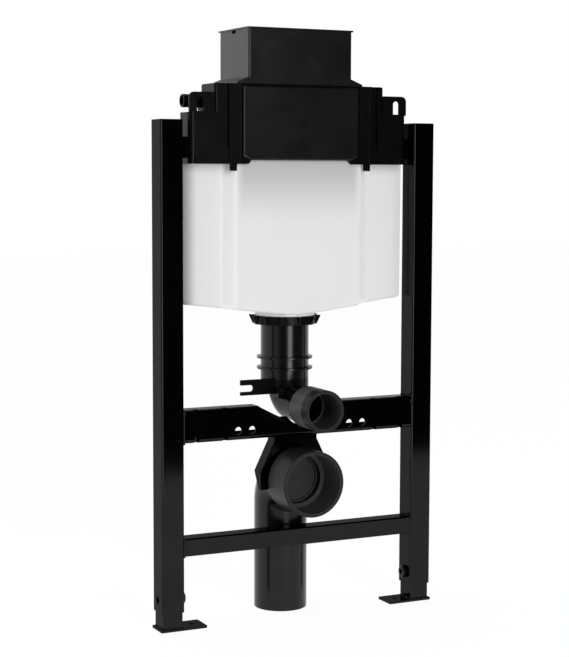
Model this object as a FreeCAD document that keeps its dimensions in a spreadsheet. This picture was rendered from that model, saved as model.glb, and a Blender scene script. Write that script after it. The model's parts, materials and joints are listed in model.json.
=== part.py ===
import FreeCAD, Part
import os
import re
import Sketcher
from FreeCAD import Vector

# Wall hung toilet frame: two steel uprights on telescopic legs, two crossbars, a concealed cistern
# with its flush outlet, and the waste bend. Millimetres, +Z up, front towards -Y. The origin is on
# the floor, on the centre line, midway through the depth of the uprights.

SIZES = (
    # Uprights
    ("frame_width", 500, "over the outer faces of the uprights"),
    ("frame_height", 825, "floor to the top of the upright caps"),
    ("upright_width", 39, "tube section across"),
    ("upright_depth", 40, "tube section front to back"),
    ("upright_bottom", 30, "floor to the lower end of the tube"),
    ("tube_wall", 2, "wall of the uprights, legs and lower crossbar"),
    ("tube_corner", 0.8, "inner corner radius of the tubes"),
    ("cap_plate", 2, "plate of the cap on top of the upright"),
    ("cap_plug", 14, "depth of the cap inside the upright"),
    ("cap_gap", 0.2, "cap to the inside of the upright"),
    # Legs and feet
    ("leg_gap", 0.5, "leg to the inside of the upright"),
    ("leg_length", 262, "leg above its foot plate"),
    ("foot_plate", 4, "thickness of the foot plate"),
    ("foot_length", 81, "foot plate across the frame"),
    ("foot_depth", 43, "foot plate front to back"),
    ("foot_corner", 3, "corner radius of the foot plate"),
    ("foot_overhang", 2, "foot plate beyond the outer face of the upright"),
    ("foot_hole", 9, "floor bolt hole diameter"),
    ("foot_hole_inset", 20.5, "floor bolt hole from the inward end of the plate"),
    # Leg clamps
    ("clamp_height", 50, "floor to the clamp bolt"),
    ("clamp_access", 12, "access hole in the outer wall of the upright"),
    ("clamp_thread", 8, "clamp bolt shank diameter"),
    ("clamp_gap", 0.2, "clamp bolt shank to its hole"),
    ("clamp_head", 22, "clamp bolt head diameter"),
    ("clamp_head_height", 6.5, "clamp bolt head"),
    ("clamp_head_edge", 2, "chamfer of the clamp bolt head"),
    # Lower crossbar
    ("lower_bar_bottom", 121, "floor to the lower crossbar"),
    ("lower_bar_height", 30, "lower crossbar section, upright"),
    ("lower_bar_depth", 30, "lower crossbar section, front to back"),
    # Pan crossbar
    ("pan_bar_bottom", 306, "floor to the pan crossbar"),
    ("pan_bar_height", 54, "pan crossbar, over its flanges"),
    ("pan_bar_depth", 36, "pan crossbar flanges front to back"),
    ("pan_bar_plate", 4, "folded plate of the pan crossbar"),
    ("pan_bar_lip", 10, "lips at the back of the flanges"),
    ("pan_bar_bend", 6, "outer bend radius of the fold"),
    ("notch_top", 160, "notch width at the top edge"),
    ("notch_floor", 82, "notch width at its floor"),
    ("notch_depth", 20, "notch below the top edge"),
    ("notch_corner", 12, "corner radius of the notch"),
    ("dent_leg", 10, "pressed dents, along each side of the fold"),
    ("dent_width", 8, "pressed dents across"),
    ("dent_near", 276, "inner pair of dents apart"),
    ("dent_far", 378, "outer pair of dents apart"),
    ("bar_relief", 7, "relief hole at each end, diameter"),
    ("bar_relief_height", 46, "relief hole above the lower edge"),
    ("pan_bolt_height", 321.5, "floor to the pan bolt holes"),
    ("pan_bolt_near", 180, "inner pair of pan bolt holes"),
    ("pan_bolt_far", 230, "outer pair of pan bolt holes"),
    ("pan_bolt_hole", 12.5, "pan bolt hole diameter"),
    # Waste
    ("waste_height", 231, "floor to the axis of the waste socket"),
    ("waste_reach", 66, "socket mouth in front of the origin"),
    ("waste_back", 60, "axis of the waste drop behind the origin"),
    ("waste_pipe", 90, "outer diameter of the waste pipe"),
    ("waste_wall", 3, "wall of the waste pipe"),
    ("waste_bend_radius", 48, "centre line radius of the waste bend"),
    ("waste_socket", 110, "outer diameter of the socket"),
    ("waste_socket_length", 61, "length of the socket"),
    ("waste_shoulder", 8, "taper from the socket to the pipe"),
    ("waste_bore", 98, "inner diameter of the socket"),
    ("waste_seal_depth", 10, "seal ring along the socket"),
    ("waste_seal_wall", 3, "seal ring thickness"),
    ("seal_gap", 0.2, "seal ring to its recess"),
    ("waste_plug_plate", 3, "plate of the transport plug"),
    ("waste_plug_rim", 8, "rim of the transport plug"),
    ("waste_plug_dot", 3, "moulding mark on the plug"),
    # Waste bracket
    ("bracket_width", 80, "over the cheeks at the crossbar"),
    ("bracket_arms", 130, "over the arms beside the waste bend"),
    ("bracket_plate", 3, "folded plate"),
    ("bracket_setback", 23, "face of the web behind the front of the crossbar"),
    ("bracket_depth", 24, "cheek front to back"),
    ("bracket_toe", 8, "cheek front to back at its lower end"),
    ("bracket_neck", 10, "straight part under the crossbar"),
    ("bracket_flare", 14, "full width of the arms, above the waste axis"),
    ("bracket_drop", 16, "lower end of the arms below the waste axis"),
    ("bracket_gap", 0.3, "bracket to the waste bend"),
    # Flush pipe
    ("flush_height", 357, "floor to the axis of the flush socket"),
    ("flush_reach", 105, "socket mouth in front of the origin"),
    ("flush_back", 45.5, "axis of the outlet behind the origin"),
    ("flush_pipe", 58, "outer diameter of the flush bend"),
    ("flush_wall", 3, "wall of the flush bend"),
    ("flush_bend_radius", 36, "centre line radius of the flush bend"),
    ("flush_tail", 14, "straight end of the flush bend in the sleeve"),
    ("flush_socket", 69, "outer diameter of the socket"),
    ("flush_socket_length", 68, "length of the socket"),
    ("flush_shoulder", 5, "taper from the socket to the pipe"),
    ("flush_bore", 58, "inner diameter of the socket"),
    ("flush_seal_depth", 8, "seal ring along the socket"),
    ("flush_seal_wall", 2.5, "seal ring thickness"),
    ("flush_notch_gap", 3, "flush bend to the pan crossbar"),
    # Outlet
    ("sleeve", 81, "outer diameter of the outlet sleeve"),
    ("sleeve_wall", 3, "wall of the outlet sleeve"),
    ("sleeve_bottom", 380, "floor to the sleeve"),
    ("sleeve_top", 488, "floor to the nut on the sleeve"),
    ("sleeve_ring", 94, "outer diameter of the sleeve rings"),
    ("sleeve_ring_height", 4, "height of each sleeve ring"),
    ("sleeve_ring_low", 412, "floor to the lower ring"),
    ("sleeve_ring_pitch", 18, "between the sleeve rings"),
    ("collar_height", 4, "inner collar of the sleeve"),
    ("collar_gap", 0.3, "collar to the flush bend"),
    ("nut_width", 104, "outlet nut between its ribs"),
    ("nut_bottom_width", 108, "outlet nut over its ribs at the lower edge"),
    ("nut_top_width", 122, "outlet nut over its ribs at the upper edge"),
    ("nut_height", 15, "outlet nut"),
    ("nut_rib", 4, "thickness of a rib on the nut"),
    ("nut_ribs", 12, "number of ribs on the nut"),
    # Fork lug on the sleeve
    ("lug_tip", 94, "tip of the fork to the centre line"),
    ("lug_bottom", 373, "floor to the fork"),
    ("lug_height", 26, "fork over both prongs"),
    ("lug_plate", 4, "thickness of the fork"),
    ("lug_place", 20, "middle of the fork behind the origin"),
    ("lug_slot_bottom", 6, "lower prong"),
    ("lug_slot", 11, "slot between the prongs"),
    ("lug_slot_length", 23, "slot from the tip"),
    # Cistern tank
    ("tank_top", 755, "floor to the joint with the lid"),
    ("tank_end_bottom", 529, "floor to the tank at its ends"),
    ("tank_middle_bottom", 504, "floor to the tank at its middle"),
    ("tank_flare", 7, "sharp corner of the tank beyond the end of the lid"),
    ("tank_front", 8, "middle panel in front of the origin"),
    ("tank_panel", 230, "width of the middle panel"),
    ("tank_step", 17, "side panels behind the middle panel"),
    ("tank_back", 102, "back of the tank behind the origin"),
    ("tank_back_inset", 38, "each end drawn in at the back, from the end of the lid"),
    ("tank_wall", 3, "wall of the tank"),
    ("tank_corner", 12, "corner radius of the tank ends"),
    ("tank_crease", 10, "radius of the panel creases"),
    ("tank_keel", 40, "rounding of the bottom along its middle"),
    ("tank_bottom_edge", 8, "rounding round the bottom"),
    ("apron_width", 177, "front apron in the lid's cut-out, at its top"),
    ("apron_slope", 6, "apron wider at the joint, each side"),
    ("apron_gap", 0.3, "apron to the lid"),
    ("boss_width", 100, "outlet boss under the tank"),
    # Cistern lid
    ("lid_front", 14, "lid in front of the origin"),
    ("cistern_gap", 13, "end of the lid to the upright"),
    ("lid_side", 38, "flat of the end, front to back"),
    ("lid_back", 104, "back of the lid behind the origin"),
    ("lid_back_inset", 36, "each end drawn in at the back"),
    ("lid_end_height", 82, "low ends of the lid above the joint"),
    ("lid_middle_height", 129, "raised middle of the lid above the joint"),
    ("lid_end", 44, "length of each low end"),
    ("lid_middle_side", 54, "flat of the raised middle's end, front to back"),
    ("lid_middle_inset", 34, "raised middle drawn in at the back, each end"),
    ("lid_wall", 3, "wall of the lid"),
    ("lid_corner", 4, "corner radius of the lid"),
    ("lid_front_corner", 8, "corner radius at the front of the low ends"),
    ("lid_top_edge", 3, "rounding round the raised middle"),
    ("lid_channel_width", 13.5, "channel between the clip and the end's front panel"),
    ("lid_channel", 4, "depth of the channel beside the clip"),
    ("lid_channel_rise", 27, "foot of the channel above the joint"),
    ("lid_rim", 12, "height of the rim on the low ends"),
    ("lid_rim_proud", 3, "rim in front of the lid"),
    # Hanging tabs and clips
    ("tab_height", 32, "hanging tab above the lid's low end"),
    ("tab_plate", 4, "thickness of the hanging tab"),
    ("tab_corner", 9, "outer corner radius of the tab"),
    ("tab_slot_inset", 19.3, "middle of the slot from the end of the lid"),
    ("tab_slot", 11.5, "width of the slot"),
    ("tab_slot_foot", 2, "tab below the slot"),
    ("tab_slot_height", 22, "slot over its round top"),
    ("clip_gap", 1.5, "clip to the front housing"),
    ("clip_width", 22, "clip across"),
    ("clip_plate", 2, "plate of the clip"),
    ("clip_rib", 3, "width of the ribs on the clip's edges"),
    ("clip_rib_height", 1.2, "ribs proud of the plate"),
    ("clip_tail", 13, "hook tail across"),
    ("clip_tail_shift", 3.6, "hook tail out from the clip's middle"),
    ("clip_tail_drop", 11, "hook tail below the lid"),
    # Front housing, shaft and cover
    ("housing_width", 212, "front housing across"),
    ("housing_rise", 6.5, "front housing above the joint"),
    ("housing_height", 119.5, "front housing"),
    ("housing_proud", 4, "front housing in front of the lid"),
    ("housing_edge", 3, "rounding round the front of the housing"),
    ("housing_corner", 6, "upper corner radius"),
    ("housing_cut", 14, "lower corners cut off, across"),
    ("housing_cut_height", 6, "lower corners cut off, upright"),
    ("button", 8, "round catch on the housing, diameter"),
    ("button_proud", 1, "catch in front of the housing"),
    ("button_drop", 8, "middle of the catch below the top of the housing"),
    ("shaft_width", 188, "access shaft across"),
    ("shaft_front", 13, "front of the shaft before the origin"),
    ("shaft_back", 102, "back of the shaft behind the origin"),
    ("shaft_wall", 3, "wall of the shaft"),
    ("shaft_corner", 3, "corner radius of the shaft"),
    ("shaft_foot", 11, "height of the sloping foot of the shaft"),
    ("shaft_foot_lip", 3, "height of the lip of the foot"),
    ("shaft_foot_proud", 20, "foot beyond the shaft's sides"),
    ("finger_notch", 16, "finger notches under the cover, front to back"),
    ("finger_notch_height", 5, "finger notches under the cover"),
    ("shaft_height", 91, "top of the shaft cover above the lid"),
    ("cover_plate", 2.5, "plate of the shaft cover"),
    ("cover_rim", 9, "rim round the recess of the cover"),
    ("cover_recess", 1, "recess in the top of the cover"),
    ("cover_proud", 2.5, "cover beyond the shaft"),
    ("cover_plug", 10, "rim of the cover inside the shaft"),
    ("cover_wall", 2.5, "wall of that rim"),
    ("cover_gap", 0.3, "cover to the inside of the shaft"),
    # Water inlet
    ("inlet_rise", 101, "axis of the inlet above the joint"),
    ("inlet_place", 25, "axis of the inlet behind the origin"),
    ("inlet_thread", 20.9, "outer diameter of the threaded stub"),
    ("inlet_neck", 23, "outer diameter of the stub under its nut"),
    ("inlet_bore", 15, "bore of the stub"),
    ("inlet_length", 41, "stub outside the lid"),
    ("inlet_nut", 30, "across the flats"),
    ("inlet_nut_height", 9, "thickness of the lock nut"),
    ("inlet_nut_gap", 0.15, "nut to the stub"),
    # Cistern brackets
    ("hanger_rise", 9, "cistern bracket above the joint"),
    ("hanger_height", 34, "cistern bracket"),
    ("hanger_front", 6, "cistern bracket in front of the origin"),
    ("hanger_depth", 20, "cistern bracket front to back"),
    ("hanger_plate", 3, "folded plate"),
)
NAMES = {name for name, size, note in SIZES}
SIDES = {"left": -1, "right": 1}

# Heights worked out from the sizes
LID_SHOULDER = "(tank_top + lid_end_height)"
LID_TOP = "(tank_top + lid_middle_height)"
HOUSING_BOTTOM = "(tank_top + housing_rise)"
HOUSING_TOP = "(tank_top + housing_rise + housing_height)"
SHAFT_TOP = f"({LID_TOP} + shaft_height - cover_plate)"
INLET_HEIGHT = "(tank_top + inlet_rise)"

# Places worked out from the sizes, as distances from the centre line
FOOT_INNER_END = "(frame_width / 2 + foot_overhang - foot_length)"
LID_END = "(frame_width / 2 - upright_width - cistern_gap)"
LID_BACK = f"({LID_END} - lid_back_inset)"
MIDDLE_END = f"({LID_END} - lid_end)"
MIDDLE_BACK = f"({MIDDLE_END} - lid_middle_inset)"
TANK_END = f"({LID_END} + tank_flare)"
TANK_BACK = f"({LID_END} - tank_back_inset)"
CLIP_MIDDLE = "(housing_width / 2 + clip_gap + clip_width / 2)"
LID_PANEL = "(housing_width / 2 + clip_gap + clip_width + lid_channel_width)"

doc = FreeCAD.newDocument("toilet_frame")
sheet = doc.addObject("Spreadsheet::Sheet", "sizes")
for row, (name, size, note) in enumerate(SIZES, 1):
    sheet.set(f"A{row}", name)
    sheet.set(f"B{row}", str(size))
    sheet.set(f"C{row}", note)
    sheet.setAlias(f"B{row}", name)
doc.recompute()
pieces = []


# Sketch and feature helpers

def formula(text):
    """The text with each size name pointed at its cell of the sheet."""
    return re.sub(r"[a-z_]+", lambda word: "sizes." + word[0] if word[0] in NAMES else word[0], text)


def value(text):
    """The present value of a formula in size names."""
    return float(sheet.evalExpression(formula(text)))


def bind(thing, prop, text):
    """Tie a property to a formula in size names."""
    thing.setExpression(prop, formula(text))


def piece(name):
    """A new body, exported under its label."""
    body = doc.addObject("PartDesign::Body", name)
    body.Label = name
    pieces.append(body)
    return body


def sketch_on(body, role, x="0", y="0", z="0"):
    """A sketch on one of the body's origin planes, shifted along the plane's own axes."""
    plane = next(item for item in body.Origin.OriginFeatures if item.Role == role)
    sketch = body.newObject("Sketcher::SketchObject", body.Name + "_sketch")
    sketch.AttachmentSupport = [(plane, "")]
    sketch.MapMode = "FlatFace"
    for axis, shift in (("x", x), ("y", y), ("z", z)):
        bind(sketch, f"AttachmentOffset.Base.{axis}", shift)
    return sketch


def fix(sketch, kind, text, *place):
    """A dimension of a sketch, tied to a formula."""
    index = sketch.addConstraint(Sketcher.Constraint(kind, *place, value(text)))
    bind(sketch, f"Constraints[{index}]", text)


def outline(sketch, corners):
    """A closed outline through corners (x, y) or rounded corners (x, y, radius)."""
    first = sketch.GeometryCount
    count = len(corners)
    points = [Vector(value(corner[0]), value(corner[1]), 0) for corner in corners]
    for start, end in zip(points, points[1:] + points[:1]):
        sketch.addGeometry(Part.LineSegment(start, end), False)
    for index in range(count):
        after = first + (index + 1) % count
        sketch.addConstraint(Sketcher.Constraint("Coincident", first + index, 2, after, 1))
    for index, corner in enumerate(corners):
        fix(sketch, "DistanceX", corner[0], first + index, 1)
        fix(sketch, "DistanceY", corner[1], first + index, 1)
    for index, corner in enumerate(corners):
        if len(corner) > 2:
            arc = sketch.GeometryCount
            sketch.fillet(first + index, 1, value(corner[2]), True, True)
            fix(sketch, "Radius", corner[2], arc)


def rectangle(sketch, low_x, high_x, low_y, high_y, corner=None):
    """A rectangle between two formulas each way, with rounded corners if a radius is given."""
    places = ((low_x, low_y), (high_x, low_y), (high_x, high_y), (low_x, high_y))
    outline(sketch, [place + ((corner,) if corner else ()) for place in places])


def circle(sketch, x, y, radius):
    """A circle about a point."""
    centre = Vector(value(x), value(y), 0)
    index = sketch.addGeometry(Part.Circle(centre, Vector(0, 0, 1), value(radius)), False)
    fix(sketch, "DistanceX", x, index, 3)
    fix(sketch, "DistanceY", y, index, 3)
    fix(sketch, "Radius", radius, index)


def feature(body, kind, sketch, **sizes):
    """A feature of a body made from a sketch."""
    made = body.newObject("PartDesign::" + kind, body.Name + "_" + kind.lower())
    made.Profile = sketch
    for prop, text in sizes.items():
        bind(made, prop, text)
    return made


def pad(body, sketch, length, back=False, both=False):
    """Extrude a sketch along its plane's normal, against it, or half each way."""
    made = feature(body, "Pad", sketch, Length=length)
    made.Reversed = back
    made.SideType = "Symmetric" if both else "One side"
    return made


def pocket(body, sketch, length, forward=False):
    """Cut a sketch half each way, or along its plane's normal only, and see that it cuts."""
    doc.recompute()
    before = body.Shape.Volume
    made = feature(body, "Pocket", sketch, Length=length)
    made.Reversed = forward
    made.SideType = "One side" if forward else "Symmetric"
    doc.recompute()
    if not body.Shape.Volume < before:
        raise ValueError(body.Label + ": a pocket removes nothing")


def revolve(body, sketch, axis="H_Axis", angle="360", back=False):
    """Turn a sketch about one of its own axes."""
    made = feature(body, "Revolution", sketch, Angle=angle)
    made.ReferenceAxis = (sketch, [axis])
    made.Reversed = back


def groove(body, sketch, axis="H_Axis", angle="360"):
    """Cut a sketch turned about one of its own axes, and see that it cuts."""
    doc.recompute()
    before = body.Shape.Volume
    made = feature(body, "Groove", sketch, Angle=angle)
    made.ReferenceAxis = (sketch, [axis])
    doc.recompute()
    if not body.Shape.Volume < before:
        raise ValueError(body.Label + ": a groove removes nothing")


def repeat_round(body, made, sketch, count):
    """Repeat a feature round the upright axis of a sketch."""
    pattern = body.newObject("PartDesign::PolarPattern", body.Name + "_pattern")
    pattern.Originals = [made]
    pattern.Axis = (sketch, ["V_Axis"])
    pattern.Angle = 360
    bind(pattern, "Occurrences", count)
    body.Tip = pattern


def round_edges(body, radius, chosen):
    """Round the edges of a body that a test picks."""
    doc.recompute()
    base = body.Tip
    edges = [f"Edge{index}" for index, edge in enumerate(base.Shape.Edges, 1) if chosen(edge)]
    made = body.newObject("PartDesign::Fillet", body.Name + "_fillet")
    made.Base = (base, edges)
    bind(made, "Radius", radius)


# Steel frame

def tube_section(sketch, side, inset, corner):
    """The section of an upright, drawn in by an inset all round."""
    rectangle(sketch, f"{side} * (frame_width / 2 - upright_width + {inset})",
              f"{side} * (frame_width / 2 - {inset})",
              f"{inset} - upright_depth / 2", f"upright_depth / 2 - {inset}", corner)


def upright(name, side):
    """A square tube with an access hole in its outer wall and a bolt hole in its inner wall."""
    body = piece(name)
    section = sketch_on(body, "XY_Plane", z="upright_bottom")
    tube_section(section, side, "0", "tube_corner + tube_wall")
    tube_section(section, side, "tube_wall", "tube_corner")
    pad(body, section, "frame_height - cap_plate - upright_bottom")
    access = sketch_on(body, "YZ_Plane", z=f"{side} * (frame_width / 2 - tube_wall / 2)")
    circle(access, "0", "clamp_height", "clamp_access / 2")
    pocket(body, access, "2 * tube_wall")
    thread = sketch_on(body, "YZ_Plane", z=f"{side} * (frame_width / 2 - upright_width + tube_wall / 2)")
    circle(thread, "0", "clamp_height", "clamp_thread / 2 + clamp_gap")
    pocket(body, thread, "2 * tube_wall")


def upright_cap(name, side):
    """A plate on top of the upright with a plug inside it."""
    body = piece(name)
    plate = sketch_on(body, "XY_Plane", z="frame_height - cap_plate")
    tube_section(plate, side, "0", "tube_corner + tube_wall")
    pad(body, plate, "cap_plate")
    plug = sketch_on(body, "XY_Plane", z="frame_height - cap_plate")
    tube_section(plug, side, "(tube_wall + cap_gap)", "tube_corner")
    pad(body, plug, "cap_plug", back=True)


def leg(name, side):
    """The inner tube that slides in the upright."""
    body = piece(name)
    section = sketch_on(body, "XY_Plane", z="foot_plate")
    tube_section(section, side, "(tube_wall + leg_gap)", "tube_corner")
    tube_section(section, side, "(2 * tube_wall + leg_gap)", None)
    pad(body, section, "leg_length")


def foot(name, side):
    """The plate under the leg, with a floor bolt hole on its inward end."""
    body = piece(name)
    plate = sketch_on(body, "XY_Plane")
    rectangle(plate, f"{side} * {FOOT_INNER_END}", f"{side} * (frame_width / 2 + foot_overhang)",
              "-foot_depth / 2", "foot_depth / 2", "foot_corner")
    circle(plate, f"{side} * ({FOOT_INNER_END} + foot_hole_inset)", "0", "foot_hole / 2")
    pad(body, plate, "foot_plate")


def clamp_bolt(name, side):
    """The bolt through the inner wall of the upright that holds the leg."""
    body = piece(name)
    face = f"{side} * (frame_width / 2 - upright_width)"
    tip = f"{side} * (frame_width / 2 - upright_width + tube_wall)"
    crown = f"{side} * (frame_width / 2 - upright_width - clamp_head_height)"
    shoulder = f"{side} * (frame_width / 2 - upright_width - clamp_head_height + clamp_head_edge)"
    half = sketch_on(body, "XZ_Plane", y="clamp_height")
    outline(half, [(tip, "0"), (tip, "clamp_thread / 2"), (face, "clamp_thread / 2"),
                   (face, "clamp_head / 2"), (shoulder, "clamp_head / 2"),
                   (crown, "clamp_head / 2 - clamp_head_edge"), (crown, "0")])
    revolve(body, half)


def lower_crossbar():
    """A flat tube between the uprights."""
    body = piece("lower_crossbar")
    section = sketch_on(body, "YZ_Plane")
    rectangle(section, "-upright_depth / 2", "lower_bar_depth - upright_depth / 2",
              "lower_bar_bottom", "lower_bar_bottom + lower_bar_height", "tube_corner + tube_wall")
    rectangle(section, "tube_wall - upright_depth / 2", "lower_bar_depth - upright_depth / 2 - tube_wall",
              "lower_bar_bottom + tube_wall", "lower_bar_bottom + lower_bar_height - tube_wall",
              "tube_corner")
    pad(body, section, "frame_width - 2 * upright_width", both=True)


def pressed_dents(body, place):
    """A dent across each fold of the pan crossbar: filled inside, then cut outside by the same slope."""
    front, web = "-upright_depth / 2", "pan_bar_plate - upright_depth / 2"
    leg = "dent_leg + pan_bar_plate * (sqrt(2) - 2)"
    beyond = "dent_leg + pan_bar_plate"
    fill = sketch_on(body, "YZ_Plane", z=place)
    for inside, way in (("pan_bar_bottom + pan_bar_plate", 1),
                        ("pan_bar_bottom + pan_bar_height - pan_bar_plate", -1)):
        outline(fill, [(web, inside), (f"{web} + {leg}", inside), (web, f"{inside} + {way} * ({leg})")])
    pad(body, fill, "dent_width + 2 * pan_bar_plate", both=True)
    cut = sketch_on(body, "YZ_Plane", z=place)
    for edge, way in (("pan_bar_bottom", 1), ("pan_bar_bottom + pan_bar_height", -1)):
        outline(cut, [(f"{front} - pan_bar_plate", f"{edge} - {way} * pan_bar_plate"),
                      (f"{front} + {beyond}", f"{edge} - {way} * pan_bar_plate"),
                      (f"{front} - pan_bar_plate", f"{edge} + {way} * ({beyond})")])
    pocket(body, cut, "dent_width")


def pan_crossbar():
    """A folded channel, notched for the flush pipe, with two pairs of pan bolt holes."""
    body = piece("pan_crossbar")
    front = "-upright_depth / 2"
    web = "pan_bar_plate - upright_depth / 2"
    back = "pan_bar_depth - upright_depth / 2"
    low, low_inside = "pan_bar_bottom", "pan_bar_bottom + pan_bar_plate"
    high = "pan_bar_bottom + pan_bar_height"
    high_inside = "pan_bar_bottom + pan_bar_height - pan_bar_plate"
    inner_bend = "pan_bar_bend - pan_bar_plate"
    section = sketch_on(body, "YZ_Plane")
    lip, low_lip = "pan_bar_depth - pan_bar_plate - upright_depth / 2", "pan_bar_bottom + pan_bar_lip"
    high_lip = "pan_bar_bottom + pan_bar_height - pan_bar_lip"
    outline(section, [(front, low, "pan_bar_bend"), (back, low, "pan_bar_bend"), (back, low_lip),
                      (lip, low_lip), (lip, low_inside, inner_bend), (web, low_inside, inner_bend),
                      (web, high_inside, inner_bend), (lip, high_inside, inner_bend), (lip, high_lip),
                      (back, high_lip), (back, high, "pan_bar_bend"), (front, high, "pan_bar_bend")])
    pad(body, section, "frame_width - 2 * upright_width", both=True)
    above = "pan_bar_bottom + 2 * pan_bar_height"
    floor = "pan_bar_bottom + pan_bar_height - notch_depth"
    notch = sketch_on(body, "XZ_Plane")
    outline(notch, [("-notch_top / 2", above), ("-notch_top / 2", high, "notch_corner"),
                    ("-notch_floor / 2", floor, "notch_corner"), ("notch_floor / 2", floor, "notch_corner"),
                    ("notch_top / 2", high, "notch_corner"), ("notch_top / 2", above)])
    pocket(body, notch, "3 * upright_depth")
    saddle = sketch_on(body, "XZ_Plane")
    circle(saddle, "0", "flush_height", "flush_pipe / 2 + flush_notch_gap")
    pocket(body, saddle, "3 * upright_depth")
    for spacing in ("dent_near", "dent_far"):
        for side in SIDES.values():
            pressed_dents(body, f"{side} * {spacing} / 2")
    holes = sketch_on(body, "XZ_Plane", z="upright_depth / 2")
    for side in SIDES.values():
        circle(holes, f"{side} * (frame_width / 2 - upright_width)", "pan_bar_bottom + bar_relief_height",
               "bar_relief / 2")
    for spacing in ("pan_bolt_near", "pan_bolt_far"):
        for side in SIDES.values():
            circle(holes, f"{side} * {spacing} / 2", "pan_bolt_height", "pan_bolt_hole / 2")
    pocket(body, holes, "4 * pan_bar_plate")


# Waste

def bend_circle(sketch, radius):
    """The section of the waste bend, seen from the bend's own axis."""
    circle(sketch, "0", "waste_bend_radius", radius)


def waste_bend_sketch(body):
    """A sketch at the lower end of the waste bend, with the bend's axis as its horizontal axis."""
    return sketch_on(body, "XY_Plane", y="waste_back - waste_bend_radius",
                     z="waste_height - waste_bend_radius")


def waste_bend():
    """A drop pipe, a right-angle bend and a socket, moulded in one."""
    body = piece("waste_bend")
    drop = sketch_on(body, "XY_Plane")
    for radius in ("waste_pipe / 2", "waste_pipe / 2 - waste_wall"):
        circle(drop, "0", "waste_back", radius)
    pad(body, drop, "waste_height - waste_bend_radius")
    turn = waste_bend_sketch(body)
    for radius in ("waste_pipe / 2", "waste_pipe / 2 - waste_wall"):
        bend_circle(turn, radius)
    revolve(body, turn, angle="90")
    mouth, recess = "-waste_reach", "waste_seal_depth - waste_reach"
    shoulder = "waste_socket_length - waste_reach"
    pipe = "waste_socket_length + waste_shoulder - waste_reach"
    start = "waste_back - waste_bend_radius"
    seat = "waste_socket_length - waste_reach - waste_wall"
    half = sketch_on(body, "YZ_Plane", y="waste_height")
    outline(half, [(start, "waste_pipe / 2 - waste_wall"), (start, "waste_pipe / 2"),
                   (pipe, "waste_pipe / 2"), (shoulder, "waste_socket / 2"), (mouth, "waste_socket / 2"),
                   (mouth, "waste_bore / 2 + waste_seal_wall"),
                   (recess, "waste_bore / 2 + waste_seal_wall"), (recess, "waste_bore / 2"),
                   (seat, "waste_bore / 2"), (seat, "waste_pipe / 2 - waste_wall")])
    revolve(body, half)


def seal(name, height, reach, bore, depth, wall):
    """A rubber ring in the recess at the mouth of a socket."""
    body = piece(name)
    half = sketch_on(body, "YZ_Plane", y=height)
    rectangle(half, f"-{reach}", f"{depth} - {reach}", f"{bore} / 2", f"{bore} / 2 + {wall} - seal_gap")
    revolve(body, half)


def waste_plug():
    """A shallow cap pushed in to the end of the straight pipe."""
    body = piece("waste_plug")
    back = "waste_back - waste_bend_radius"
    face = "waste_back - waste_bend_radius - waste_plug_plate"
    rim = "waste_back - waste_bend_radius - waste_plug_rim"
    edge = "waste_pipe / 2 - waste_wall - seal_gap"
    inner = "waste_pipe / 2 - waste_wall - seal_gap - waste_plug_plate"
    dot = "waste_back - waste_bend_radius - waste_plug_plate - waste_plug_dot / 2"
    half = sketch_on(body, "YZ_Plane", y="waste_height")
    outline(half, [(back, "0"), (back, edge), (rim, edge), (rim, inner), (face, inner),
                   (face, "waste_plug_dot"), (dot, "waste_plug_dot"), (dot, "0")])
    revolve(body, half)


def bracket_outline(sketch, inset, low, high):
    """The waste bracket seen from the front, its sides drawn in by an inset."""
    neck, arm = f"bracket_width / 2 - {inset}", f"bracket_arms / 2 - {inset}"
    right = [(arm, low), (arm, "waste_height + bracket_flare"), (neck, "pan_bar_bottom - bracket_neck"),
             (neck, high)]
    outline(sketch, right + [(f"-({x})", level) for x, level in reversed(right)])


def waste_bracket():
    """A folded yoke under the pan crossbar that sits over the waste bend behind its socket."""
    body = piece("waste_bracket")
    front = "bracket_setback - upright_depth / 2"
    back, toe = f"{front} + bracket_depth", f"{front} + bracket_toe"
    low, below = "waste_height - bracket_drop", "waste_height - bracket_drop - bracket_plate"
    yoke = sketch_on(body, "XZ_Plane", z=f"-({front})")
    bracket_outline(yoke, "0", low, "pan_bar_bottom")
    pad(body, yoke, "bracket_depth", back=True)
    inside = sketch_on(body, "XZ_Plane", z=f"-({back})")
    bracket_outline(inside, "bracket_plate", below, "pan_bar_bottom + bracket_plate")
    pocket(body, inside, "bracket_depth - bracket_plate", forward=True)
    taper = sketch_on(body, "YZ_Plane")
    outline(taper, [(back, "waste_height + bracket_flare"), (toe, low), (toe, below),
                    (f"{back} + bracket_depth", below),
                    (f"{back} + bracket_depth", "waste_height + bracket_flare")])
    pocket(body, taper, "2 * bracket_arms")
    straight = sketch_on(body, "XZ_Plane", z="waste_bend_radius - waste_back")
    circle(straight, "0", "waste_height", "waste_pipe / 2 + bracket_gap")
    pocket(body, straight, "2 * waste_back", forward=True)


# Flush outlet

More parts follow.
